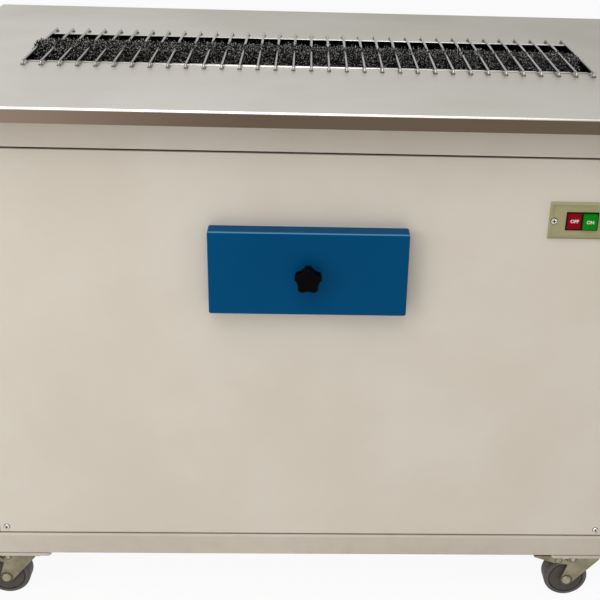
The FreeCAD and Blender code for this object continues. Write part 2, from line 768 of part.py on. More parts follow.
def guard_rods():
    """Staples of round rod that stand on the worktop and cross the slot."""
    body = new_body("guard_rods")
    span = float(2 * (SLOT_HALF + s.rod_past_end))
    gaps = round(span / float(s.rod_pitch))
    first = -(gaps * s.rod_pitch / 2)
    foot = s.slot_width / 2 + s.rod_land
    path = Drawing(body, "YZ", first)
    high = TABLE + s.rod_rise
    path.rounded([(-foot, TABLE), (-foot, high), (foot, high), (foot, TABLE)], s.rod_bend, closed=False)
    round_bar = Drawing(body, "XY", TABLE)
    round_bar.circle(first, -foot, s.rod_diameter / 2)
    pipe = body.newObject("PartDesign::AdditivePipe", "rod")
    pipe.Profile = round_bar.done()
    pipe.Spine = path.done()
    DOC.recompute()
    row = body.newObject("PartDesign::LinearPattern", "row")
    row.Originals = [pipe]
    row.Direction = (round_bar.sketch, ["H_Axis"])
    tie(row, "Length", gaps * s.rod_pitch)
    row.Occurrences = gaps + 1
    body.Tip = row
    DOC.recompute()


# Brush on its shaft, with bearings and pulley
def brush_parts():
    shaft = new_body("brush_shaft", z=BRUSH_AXIS)
    end = BEARING_X + s.block_width / 2 - s.shaft_setback
    big = CHUTE_END_X - s.chute_sheet
    outline = Drawing(shaft, "XZ")
    outline.polygon(
        [
            (-end, 0),
            (-end, s.journal_diameter / 2),
            (-big, s.journal_diameter / 2),
            (-big, s.shaft_diameter / 2),
            (big, s.shaft_diameter / 2),
            (big, s.journal_diameter / 2),
            (end, s.journal_diameter / 2),
            (end, 0),
        ]
    )
    revolve(shaft, outline, "H")
    for label, inner, outer, half in (
        ("brush_core", s.shaft_diameter / 2 + s.fit_play, s.core_diameter / 2, BRUSH_HALF),
        ("brush_bristles", s.core_diameter / 2 + s.fit_play, s.brush_diameter / 2, BRUSH_HALF),
    ):
        body = new_body(label, z=BRUSH_AXIS)
        tube = Drawing(body, "XZ")
        tube.rectangle(-half, inner, half, outer)
        revolve(body, tube, "H")


def pulley(label, x, z, diameter, bore):
    """A V-grooved pulley on a shaft along X."""
    body = new_body(label, x=x, z=z)
    rim, half = diameter / 2, s.pulley_width / 2
    mouth = s.belt_width / 2 + s.belt_play
    floor = rim - s.belt_height - 2 * s.belt_play
    root = s.belt_width / 2 - s.belt_height * BELT_TAPER + s.belt_play
    outline = Drawing(body, "XZ")
    outline.polygon(
        [
            (-half, bore / 2 + s.fit_play),
            (-half, rim),
            (-mouth, rim),
            (-root, floor),
            (root, floor),
            (mouth, rim),
            (half, rim),
            (half, bore / 2 + s.fit_play),
        ]
    )
    revolve(body, outline, "H")


def drive_belt():
    """The V-belt round both pulleys, swept along its closed loop."""
    big = float(s.brush_pulley / 2 - s.belt_height / 2)
    small = float(s.motor_pulley / 2 - s.belt_height / 2)
    top, bottom = V(0, 0, float(BRUSH_AXIS)), V(0, 0, float(MOTOR_AXIS))
    lean = math.asin((big - small) / (top.z - bottom.z))
    side = V(0, math.cos(lean), -math.sin(lean))
    ends = {}
    for sign in (-1, 1):
        across = V(0, sign * side.y, side.z)
        ends[sign] = (top + across * big, bottom + across * small)
    edges = [
        Part.LineSegment(ends[1][0], ends[1][1]).toShape(),
        Part.Arc(ends[1][1], bottom - V(0, 0, small), ends[-1][1]).toShape(),
        Part.LineSegment(ends[-1][1], ends[-1][0]).toShape(),
        Part.Arc(ends[-1][0], top + V(0, 0, big), ends[1][0]).toShape(),
    ]
    loop = Part.Wire(edges)
    half_tall = float(s.belt_height / 2)
    back, root = float(s.belt_width / 2), float(s.belt_width / 2 - s.belt_height * BELT_TAPER)
    corner = [
        ends[1][0] + side * half_tall * up + V(wide, 0, 0)
        for up, wide in ((1, -back), (1, back), (-1, root), (-1, -root))
    ]
    section = Part.makePolygon([*corner, corner[0]])
    belt = Part.Solid(loop.makePipeShell([section], True, False))
    if belt.Volume < 0:
        belt.reverse()
    belt.translate(V(float(PULLEY_X), 0, 0))
    feature_of("drive_belt", belt)


def bearing_bolt_spots():
    return [(sx * BEARING_X, sy * s.block_bolts / 2) for sx in (-1, 1) for sy in (-1, 1)]


def bearing_parts():
    housings = new_body("bearing_housings")
    inserts = new_body("bearing_inserts")
    for sign in (-1, 1):
        middle = sign * BEARING_X
        foot = Drawing(housings, "YZ", middle)
        foot.rectangle(-s.block_length / 2, RAIL_HIGH, s.block_length / 2, RAIL_HIGH + s.block_foot)
        pad(housings, foot, s.block_width, both=True)
        dome = Drawing(housings, "YZ", middle)
        dome.circle(0, BRUSH_AXIS, s.insert_diameter / 2 + s.block_wall)
        pad(housings, dome, s.dome_width, both=True)
        seat = Drawing(housings, "YZ", middle)
        seat.circle(0, BRUSH_AXIS, s.insert_diameter / 2 + s.fit_play)
        pocket(housings, seat, s.block_width, both=True)
        ring = Drawing(inserts, "YZ", middle)
        ring.circle(0, BRUSH_AXIS, s.insert_diameter / 2)
        ring.circle(0, BRUSH_AXIS, s.journal_diameter / 2 + s.fit_play)
        pad(inserts, ring, s.insert_width, both=True)
    holes = Drawing(housings, "XY", RAIL_HIGH)
    for spot in bearing_bolt_spots():
        holes.circle(*spot, s.bolt_diameter / 2 + s.screw_clear)
    pocket(housings, holes, s.block_foot, back=True)


def hex_bolt(diameter, length, up):
    """A bolt along Z, its head's seat at the origin and the head above it, or below with up -1."""
    shank, corner = float(diameter), 0.95 * float(diameter)
    angles = [k * math.pi / 3 for k in range(7)]
    hexagon = Part.makePolygon([V(corner * math.cos(a), corner * math.sin(a), 0) for a in angles])
    head = Part.Face(hexagon).extrude(V(0, 0, up * shank * 0.65))
    return head.fuse(Part.makeCylinder(shank / 2, float(length), V(), V(0, 0, -up))).removeSplitter()


def upright(spots, level):
    return [FreeCAD.Placement(V(float(x), float(y), float(level)), FreeCAD.Rotation()) for x, y in spots]


def drive_bolts():
    """The bolts of the bearing blocks and of the motor's feet."""
    blocks = copies(
        hex_bolt(s.bolt_diameter, s.block_foot, 1), upright(bearing_bolt_spots(), RAIL_HIGH + s.block_foot)
    )
    feet = copies(
        hex_bolt(s.bolt_diameter, s.foot_thick + s.floor_sheet, 1),
        upright(motor_bolt_spots(), BASE_HIGH + s.floor_sheet + s.foot_thick),
    )
    feature_of("drive_bolts", Part.Compound([*blocks.Solids, *feet.Solids]))


# Motor on the floor
def motor_bolt_spots():
    return [
        (FEET_X + sx * s.foot_length / 2, sy * (s.foot_spread / 2 - s.foot_bolt_inset))
        for sx in (-1, 1)
        for sy in (-1, 1)
    ]


def motor_parts():
    barrel = new_body("motor_barrel", x=FEET_X, z=MOTOR_AXIS)
    tube = Drawing(barrel, "YZ")
    tube.circle(0, 0, s.motor_barrel / 2)
    pad(barrel, tube, s.motor_length, both=True)
    fin = Drawing(barrel, "YZ")
    rim = s.motor_barrel / 2
    fin.rectangle(-s.fin_thick / 2, rim - s.fin_root, s.fin_thick / 2, rim + s.motor_fin)
    fin_pad = pad(barrel, fin, s.motor_length - 2 * s.fin_setback, both=True)
    fins = barrel.newObject("PartDesign::PolarPattern", "fins")
    fins.Originals = [fin_pad]
    fins.Axis = (fin.sketch, ["N_Axis"])
    fins.Angle = 360
    fins.Occurrences = FINS
    barrel.Tip = fins
    DOC.recompute()
    feet = Drawing(barrel, "YZ")
    half, low = s.foot_spread / 2, -s.motor_rise
    feet.rectangle(-half, low, half, low + s.foot_thick)
    feet.rectangle(-s.motor_barrel / 4, low + s.foot_thick, s.motor_barrel / 4, s.foot_root - rim)
    pad(barrel, feet, s.foot_length + 2 * s.foot_end, both=True)
    holes = Drawing(barrel, "XY", low)
    for sx in (-1, 1):
        for sy in (-1, 1):
            holes.circle(
                sx * s.foot_length / 2,
                sy * (s.foot_spread / 2 - s.foot_bolt_inset),
                s.bolt_diameter / 2 + s.screw_clear,
            )
    pocket(barrel, holes, s.foot_thick, back=True)
    covers = new_body("motor_end_covers", x=FEET_X, z=MOTOR_AXIS)
    end = s.motor_length / 2
    shield = Drawing(covers, "XZ")
    shield.polygon(
        [
            (end, s.motor_shaft / 2 + s.fit_play),
            (end, rim),
            (end + s.motor_bell * 0.4, rim),
            (end + s.motor_bell * 0.85, rim / 2),
            (end + s.motor_bell * 0.85, s.motor_shaft / 2 + s.fit_play),
        ]
    )
    revolve(covers, shield, "H")
    cowl = Drawing(covers, "XZ")
    cowl.polygon(
        [
            (-end, 0),
            (-end, rim + s.motor_fin),
            (-end - s.cowl_length * 0.75, rim + s.motor_fin),
            (-end - s.cowl_length, rim * 0.9),
            (-end - s.cowl_length, 0),
        ]
    )
    revolve(covers, cowl, "H")
    box = new_body("motor_terminal_box", x=FEET_X, z=MOTOR_AXIS + s.motor_barrel / 2 + s.motor_fin)
    plan = Drawing(box, "XY")
    long, wide = s.terminal_length / 2, s.terminal_width / 2
    plan.rounded_rectangle(-long, -wide, long, wide, s.terminal_corner)
    pad(box, plan, s.terminal_height)
    rotor = new_body("motor_rotor_shaft", x=FEET_X, z=MOTOR_AXIS)
    start = end + s.rotor_gap
    rod = Drawing(rotor, "YZ", start)
    rod.circle(0, 0, s.motor_shaft / 2)
    pad(rotor, rod, PULLEY_X + s.pulley_width / 2 - FEET_X - start)


# Dirt chute between the bearing rails
def chute_parts():
    walls = new_body("chute_walls")
    for sign in (-1, 1):
        wall = Drawing(walls, "XY", TRAY_HIGH + s.panel_gap)
        wall.rectangle(
            -RAIL_X, sign * CHUTE_Y, RAIL_X, sign * (CHUTE_Y + s.chute_sheet)
        )
        pad(walls, wall, RAIL_HIGH - TRAY_HIGH - s.panel_gap)
    ends = new_body("chute_ends")
    floors = new_body("chute_floors")
    upper = BRUSH_LOW - s.chute_drop
    for sign in (-1, 1):
        end = Drawing(ends, "XZ")
        end.rectangle(
            sign * CHUTE_END_X, upper, sign * (CHUTE_END_X - s.chute_sheet), RAIL_HIGH
        )
        pad(ends, end, 2 * CHUTE_Y, both=True)
        slope = Drawing(floors, "XZ")
        mouth = s.tray_width / 2 - s.tray_sheet - s.tray_play
        low = TRAY_HIGH + s.panel_gap
        slope.polygon(
            [
                (sign * CHUTE_END_X, upper),
                (sign * CHUTE_END_X, upper - s.chute_sheet),
                (sign * mouth, low),
                (sign * mouth, low + s.chute_sheet),
            ]
        )
        pad(floors, slope, 2 * CHUTE_Y, both=True)


# Drawer with its runners and knob
def drawer_parts():
    front = new_body("drawer_front", y=-DRAWER_Y, z=DRAWER_Z)
    block = Drawing(front, "XZ")
    wide, tall = s.drawer_width / 2, s.drawer_height / 2
    block.rounded_rectangle(-wide, -tall, wide, tall, s.drawer_corner)
    pad(front, block, s.drawer_thick, back=True)
    soften(front, "Fillet", s.drawer_corner * 0.6, lambda e: e.BoundBox.YMax < NEAR)
    hollow = Drawing(front, "XZ", -s.drawer_sheet)
    inner_wide, inner_tall = wide - s.drawer_sheet, tall - s.drawer_sheet
    hollow.rectangle(-inner_wide, -inner_tall, inner_wide, inner_tall)
    pocket(front, hollow, s.drawer_thick)
    hole = Drawing(front, "XZ")
    hole.circle(0, 0, s.stud_diameter / 2 + s.screw_clear)
    pocket(front, hole, s.drawer_sheet)

    tray = new_body("drawer_tray", y=-DRAWER_Y + s.drawer_sheet, z=TRAY_LOW)
    plan = Drawing(tray, "XY")
    plan.rectangle(-s.tray_width / 2, 0, s.tray_width / 2, s.tray_length)
    pad(tray, plan, s.tray_height)
    inside = Drawing(tray, "XY", s.tray_sheet)
    half = s.tray_width / 2 - s.tray_sheet
    inside.rectangle(-half, s.tray_sheet, half, s.tray_length - s.tray_sheet)
    pocket(tray, inside, s.tray_height, back=True)
    nut_hole = Drawing(tray, "XZ")
    nut_hole.circle(0, s.tray_height / 2, s.stud_diameter / 2 + s.screw_clear)
    pocket(tray, nut_hole, 2 * s.tray_sheet)

    runners = new_body("drawer_runners")
    section = Drawing(runners, "XZ")
    out = s.tray_width / 2 + s.slide_play
    shelf = TRAY_LOW - s.slide_play
    for sign in (-1, 1):
        section.polygon(
            [
                (sign * (out + s.runner_sheet), shelf - s.runner_sheet),
                (sign * (out + s.runner_sheet), shelf + s.runner_leg),
                (sign * out, shelf + s.runner_leg),
                (sign * out, shelf),
                (sign * (out - s.runner_leg), shelf),
                (sign * (out - s.runner_leg), shelf - s.runner_sheet),
            ]
        )
    pad(runners, section, 2 * INNER_Y, both=True)

    knob = new_body("star_knob", y=-DRAWER_Y, z=DRAWER_Z)
    neck = Drawing(knob, "XZ")
    neck.circle(0, 0, s.neck_diameter / 2)
    pad(knob, neck, s.knob_neck)
    disc = Drawing(knob, "XZ", s.knob_neck)
    disc.circle(0, 0, s.knob_diameter / 2)
    pad(knob, disc, s.knob_height)
    bite = Drawing(knob, "XZ", s.knob_neck)
    bite.circle(0, -(s.knob_diameter / 2 - s.scallop_bite + s.scallop_radius), s.scallop_radius)
    hollow = pocket(knob, bite, s.knob_height, back=True)
    lobes = knob.newObject("PartDesign::PolarPattern", "lobes")
    lobes.Originals = [hollow]
    lobes.Axis = (bite.sketch, ["N_Axis"])
    lobes.Angle = 360
    lobes.Occurrences = LOBES
    knob.Tip = lobes
    DOC.recompute()
    lobe_length = float(s.knob_height) - NEAR
    soften(knob, "Fillet", s.lobe_round, lambda e: runs_along(e, "y") and e.Length > lobe_length)
    front_y = -float(s.knob_neck + s.knob_height)
    soften(knob, "Fillet", s.lobe_edge, lambda e: e.BoundBox.YMax < front_y + NEAR)

    radius, face = float(s.stud_diameter / 2), float(s.drawer_sheet + s.tray_sheet)
    nut, nut_end = radius * 1.9, face + float(s.stud_nut)
    tip = nut_end + float(s.stud_end)
    stud = turned(
        [
            (0, 0),
            (radius, 0),
            (radius, face),
            (nut, face),
            (nut, nut_end),
            (radius, nut_end),
            (radius, tip),
            (0, tip),
        ]
    )
    stud.Placement = FreeCAD.Placement(
        V(0, -float(DRAWER_Y), float(DRAWER_Z)), FreeCAD.Rotation(V(1, 0, 0), -90)
    )
    feature_of("knob_stud", stud)


# Push-button switch
def switch_parts():
    face_y = -FACE_Y
    plate = new_body("switch_plate", x=SWITCH_X, y=face_y, z=SWITCH_Z)
    outline = Drawing(plate, "XZ")
    wide, tall = s.plate_width / 2, s.plate_height / 2
    outline.rectangle(-wide, -tall, wide, tall)
    pad(plate, outline, s.plate_thick)
    front_y = -float(s.plate_thick)
    soften(plate, "Chamfer", s.plate_bevel, lambda e: e.BoundBox.YMax < front_y + NEAR)
    window = Drawing(plate, "XZ")
    clear = s.screw_clear / 2
    window.rectangle(-BEZEL_X - clear, -BEZEL_Z - clear, BEZEL_X + clear, BEZEL_Z + clear)
    for sign in (-1, 1):
        window.circle(sign * s.plate_screws / 2, 0, s.screw_diameter / 2 + s.screw_clear)
    pocket(plate, window, 2 * s.plate_thick, both=True)

    box = new_body("switch_body", x=SWITCH_X, y=face_y, z=SWITCH_Z)
    collar = Drawing(box, "XZ", COLLAR_Y)
    collar.rectangle(-BEZEL_X, -BEZEL_Z, BEZEL_X, BEZEL_Z)
    pad(box, collar, COLLAR_Y + s.panel_sheet + s.tab_thick, back=True)
    shell = Drawing(box, "XZ", -s.panel_sheet)
    box_wide, box_tall = wide - s.box_inset, tall - s.box_inset
    shell.rectangle(-box_wide, -box_tall, box_wide, box_tall)
    pad(box, shell, s.switch_depth, back=True)
    wells = Drawing(box, "XZ", COLLAR_Y)
    for sign in (-1, 1):
        wells.rectangle(
            sign * BUTTON_X - s.button_width / 2 - s.button_play,
            -s.button_height / 2 - s.button_play,
            sign * BUTTON_X + s.button_width / 2 + s.button_play,
            s.button_height / 2 + s.button_play,
        )
    pocket(box, wells, COLLAR_Y + s.panel_sheet + s.button_well)
    holes = Drawing(box, "XZ")
    for sign in (-1, 1):
        holes.circle(sign * s.plate_screws / 2, 0, s.screw_diameter / 2 + s.screw_clear)
    pocket(box, holes, s.panel_sheet + s.plate_screw_hole)

    for label, sign, stand in (
        ("off_button", -1, s.button_stand),
        ("on_button", 1, s.button_stand + s.button_stroke),
    ):
        body = new_body(label, x=SWITCH_X + sign * BUTTON_X, y=face_y, z=SWITCH_Z)
        cap = Drawing(body, "XZ", s.plate_thick + stand)
        half, up = s.button_width / 2, s.button_height / 2
        cap.rounded_rectangle(-half, -up, half, up, s.button_corner)
        pad(body, cap, s.plate_thick + stand + s.panel_sheet + s.button_root, back=True)
        tip_y = -float(s.plate_thick + stand)
        soften(body, "Fillet", s.button_edge, lambda e: e.BoundBox.YMax < tip_y + NEAR)

    length = float(s.plate_thick + s.panel_sheet + s.plate_screw_bite)
    master = screw(float(s.screw_head), float(s.screw_rise), float(s.screw_diameter), length)
    seat = V(float(SWITCH_X), -float(FACE_Y + s.plate_thick), float(SWITCH_Z))
    apart = V(float(s.plate_screws / 2), 0, 0)
    places = [FreeCAD.Placement(seat + apart * sign, FreeCAD.Rotation()) for sign in (-1, 1)]
    feature_of("switch_screws", copies(master, places))


def cable_gland():
    """Gland in the back panel: a flange outside, a lock nut inside, and a clear bore."""
    bore, thread, nut = (float(name / 2) for name in (s.gland_bore, s.gland_thread, s.gland_hex))
    wall = float(s.panel_sheet)
    inside, lock = -float(s.gland_inside), -float(s.gland_locknut)
    flange, reach = wall + float(s.gland_flange), wall + float(s.gland_reach)
    clear = thread + float(s.gland_play)
    outer = turned(
        [
            (bore, inside),
            (thread, inside),
            (thread, wall),
            (nut, wall),
            (nut, flange),
            (thread * 0.85, reach),
            (bore, reach),
        ]
    )
    ring = turned([(clear, lock), (nut, lock), (nut, 0), (clear, 0)])
    spot = FreeCAD.Placement(
        V(float(GLAND_X), float(INNER_Y), float(PANEL_LOW + s.gland_up)), FreeCAD.Rotation(V(1, 0, 0), -90)
    )
    for solid in (outer, ring):
        solid.Placement = spot
    feature_of("cable_gland", Part.Compound([outer, ring]))


# Casters: plate with race and pin, fork, axle, wheel, and a pedal on the front ones
def caster_top_plates():
    body = new_body("caster_top_plates")
    race = Drawing(body, "XY", RACE_LOW)
    pin = Drawing(body, "XY", CROWN_LOW - s.swivel_play)
    head = Drawing(body, "XY", CROWN_LOW - s.swivel_play - s.pin_head)
    plate = Drawing(body, "XY", PLATE_LOW)
    for name, x, y in caster_spots():
        long, deep = s.caster_plate_length / 2, s.caster_plate_width / 2
        plate.rounded_rectangle(x - long, y - deep, x + long, y + deep, s.pad_corner)
        for bolt in caster_bolt_spots(x, y):
            plate.circle(*bolt, s.caster_bolt / 2 + s.screw_clear)
        race.circle(x, y, s.race_diameter / 2)
        pin.circle(x, y, s.pin_diameter / 2)
        head.circle(x, y, s.pin_diameter * 0.8)
    pad(body, plate, s.caster_plate_thick)
    pad(body, race, s.race_height)
    pad(body, pin, 2 * s.swivel_play + s.fork_sheet)
    pad(body, head, s.pin_head)


def caster_fork(name, x, y):
    """Fork bent from sheet, with holes for the swivel pin, the axle and the pedal's rivet."""
    body = new_body(f"{name}_fork_sheet", x=x, y=y)
    axle = -s.caster_trail
    back = s.caster_trail + s.pedal_pivot_back + s.pedal_pin
    pivot_z = WHEEL_Z + s.pedal_pivot_up
    for sign in (-1, 1):
        leg = Drawing(body, "XZ", LEG_Y if sign < 0 else -LEG_OUT)
        leg.polygon(
            [
                (-back, CROWN_HIGH),
                (-back, pivot_z - s.pedal_pin),
                (axle - s.fork_tip * 0.1, pivot_z - 1.9 * s.pedal_pin),
                (axle - s.fork_tip, WHEEL_Z),
                (axle - s.fork_tip * 0.6, WHEEL_Z - s.fork_tip * 0.8),
                (axle + s.fork_tip * 0.1, WHEEL_Z - s.fork_tip),
                (axle + s.fork_tip * 0.64, WHEEL_Z - s.fork_tip * 0.77),
                (s.fork_front, CROWN_HIGH - 2.5 * s.fork_sheet),
                (s.fork_front, CROWN_HIGH),
            ]
        )
        pad(body, leg, s.fork_sheet)
    corner = float(WHEEL_Z)
    soften(body, "Fillet", s.fork_tip * 0.35, lambda e: runs_along(e, "y") and e.BoundBox.ZMax < corner + NEAR)
    crown = Drawing(body, "XY", CROWN_LOW)
    crown.rectangle(-back, -LEG_OUT, s.fork_front, LEG_OUT)
    crown.circle(0, 0, s.pin_diameter / 2 + s.swivel_play)
    pad(body, crown, s.fork_sheet)
    holes = Drawing(body, "XZ")
    holes.circle(axle, WHEEL_Z, s.axle_diameter / 2 + s.fit_play)
    holes.circle(axle - s.pedal_pivot_back, pivot_z, s.pedal_pin / 2 + s.fit_play)
    pocket(body, holes, 3 * LEG_OUT, both=True)
    crown_high = float(CROWN_HIGH)
    soften(
        body,
        "Fillet",
        s.fork_sheet * 0.9,
        lambda e: runs_along(e, "x") and abs(e.BoundBox.ZMax - crown_high) < NEAR,
    )
    return body


def caster_axle(name, x, y):
    """Axle bolt with domed head and nut, and the pedal's rivet above it."""
    reach, radius = float(LEG_OUT), float(s.axle_diameter / 2)
    bolt = turned(
        [
            (0, -reach - radius),
            (radius * 1.5, -reach - radius * 0.8),
            (radius * 2, -reach),
            (radius, -reach),
            (radius, reach),
            (radius * 2, reach),
            (radius * 1.5, reach + radius * 0.8),
            (0, reach + radius),
        ]
    )
    pin = float(s.pedal_pin / 2)
    outer = reach + float(s.swivel_play + s.pedal_sheet + s.swivel_play)
    crown, head = outer + float(s.rivet_dome), pin * 1.6
    rivet = turned([(0, -crown), (head, -outer), (pin, -outer), (pin, outer), (head, outer), (0, crown)])
    swivel = V(float(x), float(y), 0)
    axle = swivel + V(-float(s.caster_trail), 0, float(WHEEL_Z))
    pivot = axle + V(-float(s.pedal_pivot_back), 0, float(s.pedal_pivot_up))
    lying = FreeCAD.Rotation(V(1, 0, 0), 90)
    bolt.Placement = FreeCAD.Placement(axle, lying)
    rivet.Placement = FreeCAD.Placement(pivot, lying)
    return feature_of(f"{name}_axle", Part.Compound([bolt, rivet]))


def caster_wheel(name, x, y):
    spot = {"x": x - s.caster_trail, "y": y, "z": WHEEL_Z}
    rim, side = s.wheel_diameter / 2, s.wheel_width / 2
    tyre = new_body(f"{name}_tyre", **spot)
    ring = Drawing(tyre, "XY")
    ring.rectangle(s.hub_diameter / 2 + s.fit_play, -side, rim, side)
    revolve(tyre, ring, "V")
    tread = float(s.wheel_diameter) - 1
    soften(tyre, "Fillet", (s.wheel_diameter - s.hub_diameter) / 4, lambda e: e.BoundBox.XLength > tread)
    seat = float(s.hub_diameter) + 1
    soften(tyre, "Chamfer", s.tyre_groove, lambda e: e.BoundBox.XLength < seat and not runs_along(e, "y"))
    hub = new_body(f"{name}_hub", **spot)
    core = Drawing(hub, "XY")
    web, boss = side - s.hub_recess, side + s.fork_play - s.swivel_play
    inner = s.axle_diameter / 2 + s.fit_play
    rise = s.axle_diameter * 1.1
    core.polygon(
        [
            (inner, -boss),
            (rise, -boss),
            (rise + s.hub_recess, -web),
            (s.hub_diameter / 2, -web),
            (s.hub_diameter / 2, web),
            (rise + s.hub_recess, web),
            (rise, boss),
            (inner, boss),
        ]
    )
    revolve(hub, core, "V")


def brake_pedal(name, x, y):
    """Wedge-shaped pedal that straddles the fork and turns on the rivet; at rest it is up."""
    body = new_body(
        f"{name}_brake_pedal",
        x=x - s.caster_trail - s.pedal_pivot_back,
        y=y,
        z=WHEEL_Z + s.pedal_pivot_up,
    )
    wide = LEG_OUT + s.swivel_play
    behind = s.pedal_pin + 3 * s.swivel_play
    for near in (wide, -wide - s.pedal_sheet):
        cheek = Drawing(body, "XZ", -near - s.pedal_sheet)
        cheek.polygon(
            [
                (-s.pedal_reach, s.pedal_pin * 1.5),
                (-s.pedal_reach, s.pedal_pin * 1.15),
                (-behind, -s.pedal_pin * 0.9),
                (s.pedal_pin * 1.6, -s.pedal_pin * 1.4),
                (s.pedal_pin * 3, -s.pedal_pin * 1.2),
                (s.pedal_pin * 3, -s.pedal_pin * 0.4),
                (s.pedal_pin, s.pedal_pin),
                (-behind, s.pedal_pin * 1.5),
            ]
        )
        pad(body, cheek, s.pedal_sheet)
    tread = Drawing(body, "XZ")
    tread.polygon(
        [
            (-s.pedal_reach, s.pedal_pin * 1.5),
            (-s.pedal_reach, s.pedal_pin * 1.15),
            (-behind, s.pedal_pin * 1.5 - s.pedal_sheet),
            (-behind, s.pedal_pin * 1.5),
        ]
    )
    pad(body, tread, 2 * (wide + s.pedal_sheet / 2), both=True)
    hole = Drawing(body, "XZ")
    hole.circle(0, 0, s.pedal_pin / 2 + s.fit_play)
    pocket(body, hole, 4 * wide, both=True)


def casters():
    caster_top_plates()
    spots = []
    for name, x, y in caster_spots():
        spots += caster_bolt_spots(x, y)
        group(f"{name}_fork", [caster_fork(name, x, y), caster_axle(name, x, y)])
        caster_wheel(name, x, y)
        if name.startswith("front"):
            brake_pedal(name, x, y)
    bolt = hex_bolt(s.caster_bolt, s.caster_plate_thick + s.pad_thick, -1)
    feature_of("caster_bolts", copies(bolt, upright(spots, PLATE_LOW)))


# The whole bench
mitred_pair("base_rails_long", BASE_LOW, s.tube_side, True)
mitred_pair("base_rails_side", BASE_LOW, s.tube_side, False)
mitred_pair("apron_rails_long", APRON_LOW, s.apron_height, True)
mitred_pair("apron_rails_side", APRON_LOW, s.apron_height, False)
corner_posts()
cross_tubes()
caster_pads()
front_panel()
rear_panel()
panel("left_panel", s.cabinet_depth - 2 * s.tube_side, 0, 270, x=-HALF_WIDTH + s.panel_recess)
panel("right_panel", s.cabinet_depth - 2 * s.tube_side, 0, 90, x=HALF_WIDTH - s.panel_recess)
panel_tabs()
panel_screws()
floor_panel()
worktop()
guard_rods()
brush_parts()
pulley("brush_pulley_wheel", PULLEY_X, BRUSH_AXIS, s.brush_pulley, s.journal_diameter)
pulley("motor_pulley_wheel", PULLEY_X, MOTOR_AXIS, s.motor_pulley, s.motor_shaft)
drive_belt()
bearing_parts()
motor_parts()
drive_bolts()
chute_parts()
drawer_parts()
switch_parts()
cable_gland()
casters()

DOC.recompute()
for thing in DOC.Objects:
    if any(word in thing.State for word in ("Invalid", "Error")):
        raise RuntimeError(f"{thing.Label} failed: {thing.State}")
os.makedirs("parts", exist_ok=True)
for piece in PARTS:
    if piece.Shape.isNull() or not piece.Shape.isValid() or not piece.Shape.Solids:
        raise RuntimeError(f"{piece.Label} has no valid solid")
for piece in PARTS:
    piece.Shape.exportStep(os.path.join("parts", f"{piece.Label}.step"))
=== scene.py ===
import math

import bmesh
import bpy
from mathutils import Matrix, Vector


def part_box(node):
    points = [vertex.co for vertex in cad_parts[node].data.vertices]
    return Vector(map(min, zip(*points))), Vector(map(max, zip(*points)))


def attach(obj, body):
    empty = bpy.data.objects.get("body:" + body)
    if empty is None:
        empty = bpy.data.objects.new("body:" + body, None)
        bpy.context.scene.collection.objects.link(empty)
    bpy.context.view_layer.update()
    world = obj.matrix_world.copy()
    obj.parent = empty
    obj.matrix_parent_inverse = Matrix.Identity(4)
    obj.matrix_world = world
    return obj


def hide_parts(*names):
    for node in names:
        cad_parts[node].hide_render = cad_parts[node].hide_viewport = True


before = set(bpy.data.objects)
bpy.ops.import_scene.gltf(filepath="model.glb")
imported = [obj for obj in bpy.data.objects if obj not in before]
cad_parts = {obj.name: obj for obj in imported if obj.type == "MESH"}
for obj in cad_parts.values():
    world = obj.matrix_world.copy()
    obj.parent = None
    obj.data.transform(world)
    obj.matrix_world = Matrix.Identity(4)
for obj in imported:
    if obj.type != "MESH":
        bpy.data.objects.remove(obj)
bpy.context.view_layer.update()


# The frame: square steel tube welded into a base and an apron, with folded corner posts.
# All of it is powder-coated in warm off-white, a shade lighter on the apron and a little dusty
# down by the casters.
class Wire:
    """A socket among the nodes of a finish or a repeated shape; arithmetic on it adds Math nodes."""

    def __init__(self, nodes, socket):
        self.nodes = nodes
        self.socket = socket

    def worked(self, operation, first, second):
        return self.nodes.add("ShaderNodeMath", {"operation": operation}, {0: first, 1: second})

    def __add__(self, other):
        return self.worked("ADD", self, other)

    def __radd__(self, other):
        return self.worked("ADD", other, self)

    def __sub__(self, other):
        return self.worked("SUBTRACT", self, other)

    def __rsub__(self, other):
        return self.worked("SUBTRACT", other, self)

    def __mul__(self, other):
        return self.worked("MULTIPLY", self, other)

    def __rmul__(self, other):
        return self.worked("MULTIPLY", other, self)

    def __truediv__(self, other):
        return self.worked("DIVIDE", self, other)

    def __rtruediv__(self, other):
        return self.worked("DIVIDE", other, self)

    def __pow__(self, other):
        return self.worked("POWER", self, other)

    def __rpow__(self, other):
        return self.worked("POWER", other, self)

    def __abs__(self):
        return self.nodes.add("ShaderNodeMath", {"operation": "ABSOLUTE"}, {0: self})


class Nodes:
    """The nodes of one finish, or of one shape that repeats."""

    def __init__(self, tree):
        self.tree = tree

    def plug(self, socket, value):
        """Links a wire to a socket, or sets the socket to a plain value."""
        if isinstance(value, Wire):
            self.tree.links.new(value.socket, socket)
        else:
            socket.default_value = value

    def add(self, kind, settings=None, inputs=None, output=0):
        """A node of that type, its settings made first, with its sockets set or linked."""
        node = self.tree.nodes.new(kind)
        for name, value in (settings or {}).items():
            setattr(node, name, value)
        for name, value in (inputs or {}).items():
            self.plug(node.inputs[name], value)
        return Wire(self, node.outputs[output])


